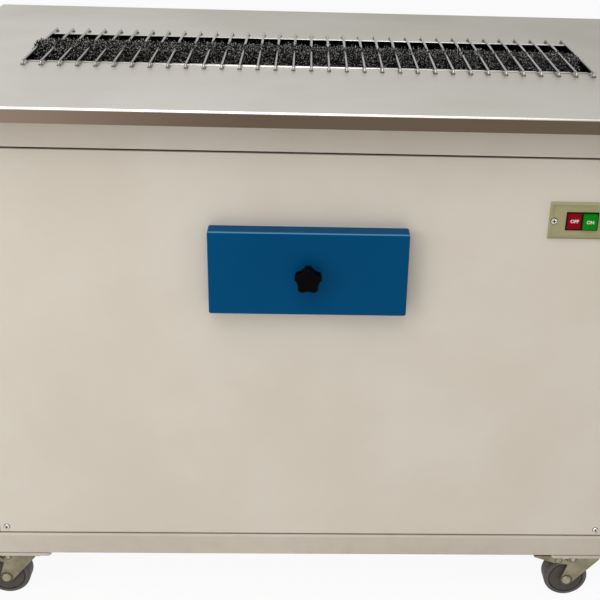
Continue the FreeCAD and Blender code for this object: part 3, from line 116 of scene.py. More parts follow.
class Finish(Nodes):
    """A material read off the object's own coordinates, in metres."""

    def __init__(self, name):
        self.material = bpy.data.materials.new(name)
        self.material.use_nodes = True
        super().__init__(self.material.node_tree)
        self.place = self.add("ShaderNodeTexCoord", output="Object")

    def grain(self, scale, stretch=(1, 1, 1), detail=2):
        """Soft noise, so many waves to a metre, drawn out along an axis by a small stretch."""
        spread = self.add("ShaderNodeMapping", {}, {"Vector": self.place, "Scale": stretch})
        noise = {"Vector": spread, "Scale": scale, "Detail": detail}
        return self.add("ShaderNodeTexNoise", {}, noise, "Fac")

    def band(self, value, low, high):
        """0 below low, 1 above high and a smooth step between."""
        ends = {"Value": value, "From Min": low, "From Max": high}
        return self.add("ShaderNodeMapRange", {"interpolation_type": "SMOOTHSTEP"}, ends)

    def axis(self, name):
        """One of the object's own coordinates."""
        return self.add("ShaderNodeSeparateXYZ", {}, {0: self.place}, name)

    def blend(self, share, first, second):
        """first colour at share 0 and second at share 1."""
        return self.add("ShaderNodeMix", {"data_type": "RGBA"}, {0: share, 6: first, 7: second}, 2)

    def relief(self, height, depth, strength):
        """The surface tilted by a height that runs from 0 to 1 over so many metres."""
        bump = {"Height": height, "Distance": depth, "Strength": strength}
        return self.add("ShaderNodeBump", {}, bump)

    def around(self, axis_x, axis_z, low, high):
        """0 inside low and 1 outside high of an axle that lies along Y."""
        across = self.axis("X") - axis_x
        upward = self.axis("Z") - axis_z
        return self.band((across * across + upward * upward) ** 0.5, low, high)

    def shown(self, name):
        """What is linked to one of the shader's sockets so far."""
        return Wire(self, self.tree.nodes["Principled BSDF"].inputs[name].links[0].from_socket)

    def shade(self, values):
        """Sets or links the shader's sockets."""
        shader = self.tree.nodes["Principled BSDF"]
        for name, value in values.items():
            self.plug(shader.inputs[name], value)


def seen(red, green, blue):
    """A colour as it looks on a screen, 0 to 255, given to the shader as light."""
    shares = [level / 255 for level in (red, green, blue)]
    light = [((c + 0.055) / 1.055) ** 2.4 if c > 0.04 else c / 12.92 for c in shares]
    return (*light, 1.0)


def dress(finish, *names):
    """Gives CAD nodes a finish."""
    for name in names:
        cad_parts[name].data.materials[0] = finish.material


def powder_coat(name, colour, shaded, roughness, sheen=0.4):
    """Baked powder paint: faint clouding, orange peel, and rubbed patches that shine differently."""
    paint = Finish(name)
    cloud = paint.grain(5.0, detail=4)
    peel = paint.grain(520.0, detail=1)
    rubbed = paint.band(paint.grain(38.0, detail=5), 0.56, 0.72)
    low_down = 1 - paint.band(paint.axis("Z"), 0.08, 0.2)
    grime = low_down * paint.band(paint.grain(30.0, detail=6), 0.4, 0.8)
    toned = paint.blend(paint.band(cloud, 0.3, 0.7), colour, shaded)
    dusty = paint.blend(grime * 0.14, toned, seen(120, 108, 94))
    paint.shade({
        "Base Color": dusty,
        "Roughness": roughness + rubbed * 0.1 + peel * 0.06,
        "Normal": paint.relief(peel, 0.0002, 0.35),
        "Specular IOR Level": sheen,
    })
    return paint


cream_paint = powder_coat("cream_paint", seen(202, 192, 178), seen(195, 185, 170), roughness=0.42)
dress(cream_paint, "base_rails_long", "base_rails_side", "corner_posts", "cross_tubes", "caster_pads")
apron_paint = powder_coat("apron_paint", seen(213, 202, 189), seen(206, 194, 179), roughness=0.42)
dress(apron_paint, "apron_rails_long", "apron_rails_side")


# The side, front and rear panels: folded steel sheet screwed to tabs on the posts.
# They have a powder coat like the frame's, and plated pan-head screws hold their corners.
panel_paint = powder_coat("panel_paint", seen(217, 208, 194), seen(211, 201, 186), roughness=0.4)
# A painted shade darkens each panel's top and bottom edge, where the gaps to the apron and the base
# rail lie.
SEAM = 0.0014
panel_low, panel_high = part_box("front_panel")
panel_level = panel_paint.axis("Z")
upper_gap_shade = panel_paint.band(panel_level, panel_high[2] - SEAM, panel_high[2] - SEAM / 2)
gap_shade = upper_gap_shade + 1 - panel_paint.band(panel_level, panel_low[2] + SEAM / 2, panel_low[2] + SEAM)
plain_panel = panel_paint.shown("Base Color")
panel_paint.shade({"Base Color": panel_paint.blend(gap_shade * 0.75, plain_panel, seen(72, 60, 50))})
dress(panel_paint, "front_panel", "rear_panel", "left_panel", "right_panel", "panel_tabs")


def repeated(name, sizes):
    """A geometry tree with its named sizes, and the sockets that set them."""
    tree = bpy.data.node_groups.new(name, "GeometryNodeTree")
    tree.interface.new_socket(name="Shape", in_out="OUTPUT", socket_type="NodeSocketGeometry")
    sockets = {}
    for label, (kind, value) in sizes.items():
        socket = tree.interface.new_socket(name=label, in_out="INPUT", socket_type=kind)
        if value is not None:
            socket.default_value = value
        sockets[label] = socket.identifier
    return Nodes(tree), sockets


def given(nodes):
    """The tree's own inputs, by name."""
    node = nodes.tree.nodes.new("NodeGroupInput")
    return {socket.name: Wire(nodes, socket) for socket in node.outputs if socket.name}


def finished(nodes, shape, finish, painted_shade=None):
    """Sends the instances out as faces with the finish, or with a painted shade finish where they are
    marked.
    """
    faces = nodes.add("GeometryNodeRealizeInstances", {}, {0: shape})
    painted = nodes.add("GeometryNodeSetMaterial", {}, {0: faces, "Material": finish.material})
    if painted_shade:
        kind = {"data_type": "BOOLEAN"}
        marked = nodes.add("GeometryNodeInputNamedAttribute", kind, {"Name": "dirty"})
        painted = nodes.add("GeometryNodeSetMaterial", {}, {
            0: painted, "Selection": marked, "Material": painted_shade.material})
    out = nodes.tree.nodes.new("NodeGroupOutput")
    nodes.plug(out.inputs[0], painted)


def put_in(name, data):
    """An object that holds a mesh, text, lamp or camera, put in the scene."""
    holder = bpy.data.objects.new(name, data)
    bpy.context.collection.objects.link(holder)
    return holder


def grown(name, tree, sockets, values, points=None):
    """A plain mesh object of what the tree makes with those values, on those points if it has any."""
    holder = put_in(name + "_seed", points or bpy.data.meshes.new(name + "_seed"))
    maker = holder.modifiers.new("maker", "NODES")
    maker.node_group = tree
    for label, value in values.items():
        maker[sockets[label]] = value
    ready = holder.evaluated_get(bpy.context.evaluated_depsgraph_get())
    mesh = bpy.data.meshes.new_from_object(ready)
    bpy.data.objects.remove(holder)
    mesh.name = name
    return put_in(name, mesh)


def set_out(name, master, places, finish, painted_shade=None):
    """Copies of a master mesh at places, each a point and a turn about the upright."""
    nodes, sockets = repeated(name + "_row", {
        "Places": ("NodeSocketGeometry", None),
        "Master": ("NodeSocketObject", None),
    })
    inputs = given(nodes)
    spots = nodes.add("GeometryNodeMeshToPoints", {}, {0: inputs["Places"]})
    turn = nodes.add("GeometryNodeInputNamedAttribute", {"data_type": "FLOAT"}, {"Name": "turn"})
    angles = nodes.add("ShaderNodeCombineXYZ", {}, {0: 0.0, 1: 0.0, 2: turn})
    way = nodes.add("FunctionNodeEulerToRotation", {}, {0: angles})
    shape = nodes.add("GeometryNodeObjectInfo", {}, {"Object": inputs["Master"]}, "Geometry")
    row = nodes.add("GeometryNodeInstanceOnPoints", {}, {
        "Points": spots, "Instance": shape, "Rotation": way})
    finished(nodes, row, finish, painted_shade)
    points = bpy.data.meshes.new(name + "_places")
    points.from_pydata([place for place, angle in places], [], [])
    marks = points.attributes.new("turn", "FLOAT", "POINT")
    for mark, (place, angle) in zip(marks.data, places):
        mark.value = angle
    pattern = put_in(name + "_master", master)
    piece = grown(name, nodes.tree, sockets, {"Master": pattern}, points)
    bpy.data.objects.remove(pattern)
    return piece


def plating(name, light, dark, roughness):
    """Bright zinc plate: even metal with a slight bloom and a few dull specks."""
    metal = Finish(name)
    bloom = metal.grain(130.0, detail=4)
    speck = metal.band(metal.grain(900.0, detail=2), 0.55, 0.7)
    metal.shade({
        "Base Color": metal.blend(bloom, light, dark),
        "Metallic": 1.0,
        "Roughness": roughness + bloom * 0.12 + speck * 0.1,
    })
    return metal


def walled(shape, rings):
    """Faces between each ring of corners and the next."""
    for lower, upper in zip(rings, rings[1:]):
        for k in range(len(lower)):
            shape.faces.new((lower[k - 1], lower[k], upper[k], upper[k - 1]))


def turned_rings(shape, profile, radius, rise, sides):
    """Walled rings of corners about an axis along -Y; profile gives shares of radius and rise."""
    around = [-math.tau * k / sides for k in range(sides)]
    rings = []
    for reach, height in profile:
        out = radius * reach
        ring = [(out * math.cos(angle), -rise * height, out * math.sin(angle)) for angle in around]
        rings.append([shape.verts.new(corner) for corner in ring])
    walled(shape, rings)
    return rings


def made(shape, name):
    """The shape as a mesh whose faces point outwards."""
    bmesh.ops.recalc_face_normals(shape, faces=shape.faces)
    mesh = bpy.data.meshes.new(name)
    shape.to_mesh(mesh)
    shape.free()
    return mesh


def pan_head(radius, rise, cross, depth):
    """A domed screw head that faces -Y; its cross recess and the rim under it are marked for painted
    shade.
    """
    SIDES = 20
    BAR = 0.3
    DOME_FALL = 0.35
    SUNK = 0.2
    RIM = 0.12
    profile = [(1.16, 0.0), (1.16, 0.1), (1.0, 0.1), (1.0, 0.35), (0.86, 0.68), (0.55, 0.93)]
    shape = bmesh.new()
    rings = turned_rings(shape, profile, radius, rise, SIDES)
    crown = shape.verts.new((0.0, -rise, 0.0))
    for k in range(SIDES):
        shape.faces.new((rings[-1][k], rings[-1][k - 1], crown))
    shape.faces.new(rings[0])
    cutter = bmesh.new()
    for wide, tall in ((cross, cross * BAR), (cross * BAR, cross)):
        corners = bmesh.ops.create_cube(cutter, size=1.0)["verts"]
        bmesh.ops.scale(cutter, vec=(wide, depth * 2, tall), verts=corners)
        bmesh.ops.translate(cutter, vec=(0.0, -rise, 0.0), verts=corners)
    blank = put_in("screw_blank", made(shape, "screw_blank"))
    tool = put_in("screw_tool", made(cutter, "screw_tool"))
    cut = blank.modifiers.new("cut", "BOOLEAN")
    cut.object = tool
    cut.solver = "EXACT"
    cut.use_self = True
    ready = blank.evaluated_get(bpy.context.evaluated_depsgraph_get())
    head = bpy.data.meshes.new_from_object(ready)
    bpy.data.objects.remove(blank)
    bpy.data.objects.remove(tool)
    marks = head.attributes.new("dirty", "BOOLEAN", "FACE")
    for face in head.polygons:
        x, y, z = face.center
        from_crown = math.hypot(x, z)
        dome_level = rise * (1 - DOME_FALL * from_crown / radius)
        in_cross = from_crown < cross / 2 and -y < dome_level - depth * SUNK
        marks.data[face.index].value = in_cross or -y < rise * RIM
    return head


# This finish is a painted shade: near-black in each cross recess and along the rim under each head.
screw_dirt = Finish("screw_dirt")
recess_shade_grain = screw_dirt.grain(700.0, detail=3)
screw_dirt.shade({
    "Base Color": screw_dirt.blend(recess_shade_grain, seen(24, 20, 16), seen(52, 45, 38)),
    "Roughness": 0.8 + screw_dirt.grain(500.0) * 0.15,
})
screw_zinc = plating("screw_zinc", seen(240, 238, 232), seen(214, 211, 202), roughness=0.14)
SCREW_INSET = 0.011
screw_master = pan_head(radius=0.0044, rise=0.0027, cross=0.0054, depth=0.0018)
screw_places = []
half_turns = {"front_panel": 0.0, "right_panel": 0.5, "rear_panel": 1.0, "left_panel": -0.5}
for panel, half_turn in half_turns.items():
    low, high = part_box(panel)
    for level in (low[2] + SCREW_INSET, high[2] - SCREW_INSET):
        if panel in ("front_panel", "rear_panel"):
            face = low[1] if panel == "front_panel" else high[1]
            spots = [(side, face, level) for side in (low[0] + SCREW_INSET, high[0] - SCREW_INSET)]
        else:
            face = high[0] if panel == "right_panel" else low[0]
            spots = [(face, side, level) for side in (low[1] + SCREW_INSET, high[1] - SCREW_INSET)]
        screw_places += [(spot, half_turn * math.pi) for spot in spots]
screws = set_out("panel_screw_heads", screw_master, screw_places, screw_zinc, screw_dirt)
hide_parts("panel_screws")
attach(screws, "cabinet")


# The worktop: one sheet of brushed stainless steel, folded down all round and hemmed,
# with a long slot for the brush whose edges are turned down as stiff lips.
def brushed(name, light, dark, roughness, along=(0.02, 1, 1)):
    """Brushed sheet: fine scratches along one axis over slow stains and handling marks."""
    metal = Finish(name)
    hair = metal.grain(900.0, along, detail=3)
    long_marks = metal.grain(160.0, along, detail=2)
    stain = metal.grain(4.5, detail=5)
    worn = metal.band(stain, 0.35, 0.7)
    metal.shade({
        "Base Color": metal.blend(worn * 0.6 + hair * 0.4, light, dark),
        "Metallic": 1.0,
        "Roughness": roughness + hair * 0.1 + worn * 0.08,
        "Normal": metal.relief(hair * 0.6 + long_marks * 0.4, 0.0001, 0.3),
    })
    return metal


TABLE_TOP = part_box("worktop")[1][2]
HEM_TOP = TABLE_TOP - 0.0026
SLOT_HALF_WIDTH = 0.438
SLOT_HALF_DEPTH = 0.097
DARK_HALF_WIDTH = SLOT_HALF_WIDTH + 0.008
DARK_HALF_DEPTH = SLOT_HALF_DEPTH + 0.013


def brushed_top(name):
    """The worktop's finish: polished on top with a painted shade darkening it towards the right and the
    back, a brown-grey painted shade on the hem that darkens to the right, and black painted shade in
    the slot.
    """
    metal = brushed(name, seen(231, 227, 219), seen(214, 210, 201), roughness=0.26)
    # A painted shade darkens the top towards the right and the back.
    top_shade_gradient = metal.band(metal.axis("X") * 0.9 + metal.axis("Y") * 1.1, -0.75, 0.9)
    top = metal.blend(top_shade_gradient, metal.shown("Base Color"), seen(175, 171, 156))
    # The hem's brown-grey, darker to the right, is a painted shade.
    far = metal.band(metal.axis("X"), -0.5, -0.05)
    hem_shade = metal.blend(far, seen(148, 129, 115), seen(104, 90, 76))
    # The slot's walls and the lips under the rolled edge are painted black as shade.
    along_slot = 1 - metal.band(abs(metal.axis("X")), DARK_HALF_WIDTH, DARK_HALF_WIDTH + 0.002)
    across_slot = 1 - metal.band(abs(metal.axis("Y")), DARK_HALF_DEPTH, DARK_HALF_DEPTH + 0.01)
    in_slot = along_slot * across_slot
    below = metal.blend(in_slot, hem_shade, seen(26, 24, 22))
    on_fold = metal.band(metal.axis("Z"), HEM_TOP - 0.0015, HEM_TOP)
    on_sheet = metal.band(metal.axis("Z"), TABLE_TOP - 0.0009, TABLE_TOP - 0.0004)
    on_top = on_fold - in_slot * (on_fold - on_sheet)
    metal.shade({"Base Color": metal.blend(on_top, below, top)})
    return metal


dress(brushed_top("top_steel"), "worktop")


# The slot's rolled edge: the sheet is turned over along the opening, so a bright round bead
# runs all the way round it and no raw edge can cut what is pushed over the brush.
def bead_round(name, half_width, half_depth, width, section):
    """A bead round a rectangle that faces up; section gives shares of its width and its heights."""
    shape = bmesh.new()
    loops = []
    for share, height in section:
        x, y = half_width - width * share, half_depth - width * share
        corners = ((-x, -y), (x, -y), (x, y), (-x, y))
        loops.append([shape.verts.new((u, v, height)) for u, v in corners])
    walled(shape, loops + loops[:1])
    return made(shape, name)


ROLL_OUT = 0.0032
ROLL_IN = 0.0006
ROLL_RISE = 0.0019
ROLL_SIDES = 8
BEDDED = 0.0002
rim_steel = brushed("rim_steel", seen(244, 242, 237), seen(226, 223, 216), roughness=0.16)
roll_turns = [math.pi * k / ROLL_SIDES for k in range(ROLL_SIDES + 1)]
roll_section = [((1 - math.cos(a)) / 2, ROLL_RISE * math.sin(a) - BEDDED) for a in roll_turns]
roll_half_width, roll_half_depth = SLOT_HALF_WIDTH + ROLL_OUT, SLOT_HALF_DEPTH + ROLL_OUT
roll_width = ROLL_OUT + ROLL_IN
rolled = bead_round("slot_rolled_edge", roll_half_width, roll_half_depth, roll_width, roll_section)
rolled.transform(Matrix.Translation((0.0, 0.0, TABLE_TOP)))
rolled.shade_smooth()
rolled.materials.append(rim_steel.material)
slot_edge = put_in("slot_rolled_edge", rolled)
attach(slot_edge, "cabinet")


# The guard rods: bright drawn rod bent down at both ends and welded to the sheet, set close
# enough together that a hand can't reach the brush between them.
rod_steel = brushed(
    "rod_steel", seen(184, 181, 175), seen(140, 136, 129), roughness=0.1, along=(1, 0.03, 1))
dress(rod_steel, "guard_rods")


# The welds that hold the rods: a small bead run by hand round each foot, so no edge of it is even.
# They are left grey and rough, as the torch leaves them.
def weld_bead(inner, outer, rise):
    """A low ring of weld with uneven edges, open in the middle where the rod stands."""
    SIDES = 12
    SUNK = -0.0001
    section = ((outer, SUNK), (outer * 0.88, rise * 0.6), (inner * 1.15, rise), (inner, SUNK))
    uneven_edge = [1 + 0.09 * math.sin(k * 2.6) + 0.06 * math.cos(k * 4.1) for k in range(SIDES)]
    shape = bmesh.new()
    rings = []
    for reach, height in section:
        ring = []
        for k, wobble in enumerate(uneven_edge):
            out, angle = reach * wobble, math.tau * k / SIDES
            ring.append(shape.verts.new((out * math.cos(angle), out * math.sin(angle), height)))
        rings.append(ring)
    walled(shape, rings + rings[:1])
    bead = made(shape, "weld_bead")
    bead.shade_smooth()
    return bead


weld_grey = plating("weld_grey", seen(126, 119, 111), seen(70, 64, 58), roughness=0.46)
ROD_RADIUS = 0.002
ROD_COUNT = 33
rod_low, rod_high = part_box("guard_rods")
rod_first = rod_low[0] + ROD_RADIUS
rod_step = (rod_high[0] - rod_low[0] - 2 * ROD_RADIUS) / (ROD_COUNT - 1)
WELD_TURN = 1.7
weld_places = []
for foot in (rod_low[1] + ROD_RADIUS, rod_high[1] - ROD_RADIUS):
    for rod in range(ROD_COUNT):
        weld_places.append(((rod_first + rod_step * rod, foot, rod_low[2]), rod * WELD_TURN))
weld_master = weld_bead(inner=0.0018, outer=0.0035, rise=0.0014)
welds = set_out("rod_welds", weld_master, weld_places, weld_grey)
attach(welds, "cabinet")


# The brush: a steel shaft and core, packed all round with stiff nylon bristle.
# Filaments stand out from the core in a dense pile, uneven at their tips and worn shorter at the right.
shaft_steel = brushed(
    "shaft_steel", seen(200, 200, 198), seen(168, 167, 164), roughness=0.3, along=(0.05, 1, 1))
dress(shaft_steel, "brush_shaft", "brush_core", "motor_rotor_shaft")

bristle_nylon = Finish("bristle_nylon")
brush_low, brush_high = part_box("brush_bristles")
BRUSH_AXIS = (brush_low[2] + brush_high[2]) / 2
BRUSH_RADIUS = (brush_high[2] - brush_low[2]) / 2
BRISTLE_TIP = BRUSH_RADIUS + 0.0095
BRUSH_WEAR = 0.0045
strand = bristle_nylon.band(bristle_nylon.grain(450.0, detail=1), 0.57, 0.63)
above_axis = bristle_nylon.axis("Z") - BRUSH_AXIS
beside_axis = bristle_nylon.axis("Y")
from_axis = (above_axis * above_axis + beside_axis * beside_axis) ** 0.5
brush_length = brush_high[0] - brush_low[0]
worn_away = (bristle_nylon.axis("X") - brush_low[0]) * (BRUSH_WEAR / brush_length)
near_tip = bristle_nylon.band(from_axis + worn_away, BRISTLE_TIP - 0.014, BRISTLE_TIP - 0.003)
# The bright speckle near the bristle tips is a painted glint.
glint = near_tip * (0.01 + strand * 0.99)
bristle_nylon.shade({
    "Base Color": bristle_nylon.blend(glint, seen(2, 2, 2), seen(204, 202, 198)),
    "Roughness": 0.4 + strand * 0.15,
    "Specular IOR Level": 0.12,
})


pile, pile_sockets = repeated("bristle_pile", {
    "Start": ("NodeSocketFloat", 0.0),
    "End": ("NodeSocketFloat", 0.1),
    "Axis height": ("NodeSocketFloat", 0.8),
    "Count": ("NodeSocketInt", 1000),
    "Root radius": ("NodeSocketFloat", 0.05),
    "Tip radius": ("NodeSocketFloat", 0.07),
    "Stray length": ("NodeSocketFloat", 0.008),
    "Thickness": ("NodeSocketFloat", 0.0005),
    "Lean": ("NodeSocketFloat", 0.1),
    "Flare": ("NodeSocketFloat", 0.0),
    "Half length": ("NodeSocketFloat", 0.4),
    "Seed": ("NodeSocketInt", 1),
})
pile_size = given(pile)
FLARE_POWER = 31.0
STRAY_POWER = 24.0
SHORTEST = 0.88
ROOT_TAPER = 0.8
BODY_SHARE = 1.12


def chance(low, high, step):
    """A random number for each bristle."""
    limits = {2: low, 3: high, "Seed": pile_size["Seed"] + step}
    return pile.add("FunctionNodeRandomValue", {"data_type": "FLOAT"}, limits, 1)


root_angle = chance(0.0, math.tau, 1)
root_across = pile.add("ShaderNodeMath", {"operation": "COSINE"}, {0: root_angle})
root_upward = pile.add("ShaderNodeMath", {"operation": "SINE"}, {0: root_angle})
outward = pile.add("ShaderNodeCombineXYZ", {}, {0: 0.0, 1: root_across, 2: root_upward})
root_y = root_across * pile_size["Root radius"]
root_z = root_upward * pile_size["Root radius"] + pile_size["Axis height"]
root_x = chance(pile_size["Start"], pile_size["End"], 2)
root = pile.add("ShaderNodeCombineXYZ", {}, {0: root_x, 1: root_y, 2: root_z})
roots = pile.add("GeometryNodePoints", {}, {"Count": pile_size["Count"], "Position": root})
from_centre = root_x / pile_size["Half length"]
lean_x = chance(-1.0, 1.0, 3) * pile_size["Lean"] + from_centre ** FLARE_POWER * pile_size["Flare"]
lean_y = chance(-1.0, 1.0, 4) * pile_size["Lean"]
lean_z = chance(-1.0, 1.0, 5) * pile_size["Lean"]
lean = pile.add("ShaderNodeCombineXYZ", {}, {0: lean_x, 1: lean_y, 2: lean_z})
heading = pile.add("ShaderNodeVectorMath", {"operation": "ADD"}, {0: outward, 1: lean})
bristle_turn = pile.add("FunctionNodeAlignRotationToVector", {"axis": "Z"}, {"Vector": heading})
stray = chance(0.0, 1.0, 6) ** STRAY_POWER * pile_size["Stray length"]
uneven = chance(SHORTEST, 1.0, 7)
bristle_reach = (pile_size["Tip radius"] - pile_size["Root radius"]) * uneven + stray
bristle_scale = pile.add("ShaderNodeCombineXYZ", {}, {0: 1.0, 1: 1.0, 2: bristle_reach})
filament = pile.add("GeometryNodeMeshCone", {"fill_type": "NGON"}, {
    "Vertices": 3,
    "Radius Top": pile_size["Thickness"],
    "Radius Bottom": pile_size["Thickness"] * ROOT_TAPER,
    "Depth": 1.0,
})
bristles = pile.add("GeometryNodeInstanceOnPoints", {}, {
    "Points": roots, "Instance": filament, "Rotation": bristle_turn, "Scale": bristle_scale})
body = pile.add("GeometryNodeMeshCylinder", {"fill_type": "NGON"}, {
    "Vertices": 40,
    "Radius": pile_size["Root radius"] * BODY_SHARE,
    "Depth": pile_size["End"] - pile_size["Start"],
})
body_middle = pile.add("ShaderNodeCombineXYZ", {}, {
    0: (pile_size["Start"] + pile_size["End"]) * 0.5, 1: 0.0, 2: pile_size["Axis height"]})
brush_body = pile.add("GeometryNodeTransform", {}, {
    0: body, "Translation": body_middle, "Rotation": (0.0, math.pi / 2, 0.0)})
whole_pile = pile.tree.nodes.new("GeometryNodeJoinGeometry")
pile.plug(whole_pile.inputs[0], brush_body)
pile.plug(whole_pile.inputs[0], bristles)
finished(pile, Wire(pile, whole_pile.outputs[0]), bristle_nylon)

BRUSH_LENGTHS = 6
LEFT_FLARE = 0.35
BRISTLES_EACH = 24000
BRISTLE_ROOT = 0.056
BRISTLE_STRAY = 0.007
BRISTLE_THICKNESS = 0.0008
BRISTLE_LEAN = 0.2
FIRST_SEED = 40
SEED_STEP = 10
brush_step = brush_length / BRUSH_LENGTHS
for number in range(BRUSH_LENGTHS):
    start = brush_low[0] + brush_step * number
    tuft = grown(f"brush_pile_{number + 1}", pile.tree, pile_sockets, {
        "Start": start,
        "End": start + brush_step,
        "Axis height": BRUSH_AXIS,
        "Count": BRISTLES_EACH,
        "Root radius": BRISTLE_ROOT,
        "Tip radius": BRISTLE_TIP - BRUSH_WEAR * number / (BRUSH_LENGTHS - 1),
        "Stray length": BRISTLE_STRAY,
        "Thickness": BRISTLE_THICKNESS,
        "Lean": BRISTLE_LEAN,
        "Flare": LEFT_FLARE if number == 0 else 0.0,
        "Half length": brush_length / 2,
        "Seed": FIRST_SEED + SEED_STEP * number,
    })
    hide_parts("brush_bristles")
    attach(tuft, "brush")


# The drive: an enamelled motor on the floor panel turns the brush through a belt and two pulleys,
# and cast flanged housings with ball-bearing inserts carry the brush shaft.
enamel = powder_coat("motor_enamel", seen(86, 100, 112), seen(76, 90, 102), roughness=0.36)
dress(enamel, "motor_barrel", "motor_end_covers", "motor_terminal_box")

cast_iron = Finish("cast_iron")
sand = cast_iron.grain(420.0, detail=3)
patch = cast_iron.grain(26.0, detail=4)
patchy = cast_iron.band(patch, 0.3, 0.7)
cast_iron.shade({
    "Base Color": cast_iron.blend(patchy, seen(104, 107, 110), seen(84, 86, 88)),
    "Roughness": 0.5 + sand * 0.2,
    "Normal": cast_iron.relief(sand, 0.0006, 0.5),
})
dress(cast_iron, "bearing_housings", "brush_pulley_wheel", "motor_pulley_wheel")

belt_rubber = Finish("belt_rubber")
cloth = belt_rubber.grain(1500.0, detail=1)
chalk = belt_rubber.band(belt_rubber.grain(60.0, detail=4), 0.5, 0.8)
belt_rubber.shade({
    "Base Color": belt_rubber.blend(chalk * 0.5, seen(30, 30, 31), seen(64, 62, 60)),
    "Roughness": 0.72 + cloth * 0.15,
    "Normal": belt_rubber.relief(cloth, 0.0002, 0.4),
})
dress(belt_rubber, "drive_belt")

plated = plating("zinc_plated", seen(196, 194, 188), seen(166, 163, 154), roughness=0.3)
dress(plated, "bearing_inserts", "drive_bolts", "caster_bolts", "knob_stud")


# The dirt chute, floor and drawer tray: bent from zinc-coated sheet and left unpainted,
# with the flaky grain that hot-dipped zinc has.
zinc_sheet = Finish("zinc_sheet")
flake = zinc_sheet.add("ShaderNodeTexVoronoi", {}, {"Vector": zinc_sheet.place, "Scale": 85.0}, "Color")
flake_tone = zinc_sheet.add("ShaderNodeSeparateColor", {}, {0: flake}, 0)
haze = zinc_sheet.grain(9.0, detail=5)
zinc_sheet.shade({
    "Base Color": zinc_sheet.blend(flake_tone, seen(188, 190, 190), seen(164, 167, 168)),
    "Metallic": 0.9,
    "Roughness": 0.34 + flake_tone * 0.14 + haze * 0.1,
})
dress(zinc_sheet, "floor_panel", "chute_walls", "chute_ends", "chute_floors")
dress(zinc_sheet, "drawer_tray", "drawer_runners")


# The drawer front: a shallow folded pan in deep blue powder coat that hangs on the tray.
# Its edges are pressed round, and a painted highlight lightens the top front one.
blue_paint = powder_coat("blue_paint", seen(0, 73, 116), seen(0, 68, 109), roughness=0.36, sheen=0.04)
drawer_low, drawer_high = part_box("drawer_front")
EDGE = 0.0022
at_front = 1 - blue_paint.band(blue_paint.axis("Y"), drawer_low[1] + EDGE / 2, drawer_low[1] + EDGE)
at_top = blue_paint.band(blue_paint.axis("Z"), drawer_high[2] - EDGE, drawer_high[2] - EDGE / 2)
plain_blue = blue_paint.shown("Base Color")
# A painted highlight along the top front edge.
painted_edge_highlight = at_front * at_top * 0.6
blue_paint.shade({"Base Color": blue_paint.blend(painted_edge_highlight, plain_blue, seen(96, 158, 190))})
dress(blue_paint, "drawer_front")


# The star knob: five-lobed moulded black phenolic on a threaded stud.
# It is polished by hands, with a faint flow pattern in the moulding.
knob_black = Finish("knob_black")
flow = knob_black.grain(120.0, detail=3)
handled = knob_black.band(knob_black.grain(45.0, detail=4), 0.45, 0.7)
knob_black.shade({
    "Base Color": knob_black.blend(flow, seen(2, 1, 1), seen(5, 4, 4)),
    "Roughness": 0.26 + handled * 0.16,
    "Specular IOR Level": 0.035,
    "Normal": knob_black.relief(flow, 0.0002, 0.2),
})
dress(knob_black, "star_knob")


# The switch: an olive-beige plate over a black body let into the panel, held by plated screws.
# OFF is the red button and ON the green; pressing one lifts the other.
def moulding(name, colour, worn, roughness):
    """Moulded plastic with a fine spark-eroded texture and a little handling shine."""
    plastic = Finish(name)
    texture = plastic.grain(2200.0, detail=1)
    shine = plastic.band(plastic.grain(70.0, detail=4), 0.4, 0.75)
    plastic.shade({
        "Base Color": plastic.blend(shine * 0.7, colour, worn),
        "Roughness": roughness + texture * 0.08 - shine * 0.08,
        "Normal": plastic.relief(texture, 0.00015, 0.4),
        "Specular IOR Level": 0.08,
    })
    return plastic


plate_olive = moulding("switch_olive", seen(164, 159, 121), seen(156, 150, 113), roughness=0.42)
plate_low, plate_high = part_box("switch_plate")
# A painted highlight lightens the plate's top bevel and a painted shade darkens its bottom bevel.
BEVEL = 0.0022
plate_height = plate_olive.axis("Z")
painted_bevel_highlight = plate_olive.band(plate_height, plate_high[2] - BEVEL, plate_high[2] - BEVEL * 0.8)
painted_bevel_shade = 1 - plate_olive.band(plate_height, plate_low[2] + BEVEL * 0.8, plate_low[2] + BEVEL)
highlit_plate = plate_olive.blend(painted_bevel_highlight * 0.5, plate_olive.shown("Base Color"), seen(182, 172, 146))
plate_olive.shade({"Base Color": plate_olive.blend(painted_bevel_shade * 0.6, highlit_plate, seen(96, 88, 64))})
dress(plate_olive, "switch_plate")
switch_black = moulding("switch_black", seen(16, 14, 13), seen(26, 24, 22), roughness=0.45)
dress(switch_black, "switch_body", "cable_gland")
stop_red = moulding("stop_red", seen(140, 0, 16), seen(126, 0, 13), roughness=0.36)
dress(stop_red, "off_button")
start_green = moulding("start_green", seen(6, 132, 14), seen(4, 118, 10), roughness=0.36)
dress(start_green, "on_button")

# Its screws are the same pan heads as the panel's, and a raised bead runs round the plate.
plate_middle = (plate_low[2] + plate_high[2]) / 2
PLATE_SCREW_INSET = 0.0065
plate_spots = [
    ((plate_low[0] + PLATE_SCREW_INSET, plate_low[1], plate_middle), 0.0),
    ((plate_high[0] - PLATE_SCREW_INSET, plate_low[1], plate_middle), 0.0),
]
plate_screws = set_out("switch_screw_heads", screw_master, plate_spots, screw_zinc, screw_dirt)
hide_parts("switch_screws")
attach(plate_screws, "cabinet")


def faced(node):
    """Turns what was made facing up to face -Y, on the middle of a node's front."""
    low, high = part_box(node)
    stand = Matrix.Translation(((low[0] + high[0]) / 2, low[1], (low[2] + high[2]) / 2))
    return stand @ Matrix.Rotation(math.pi / 2, 4, "X")


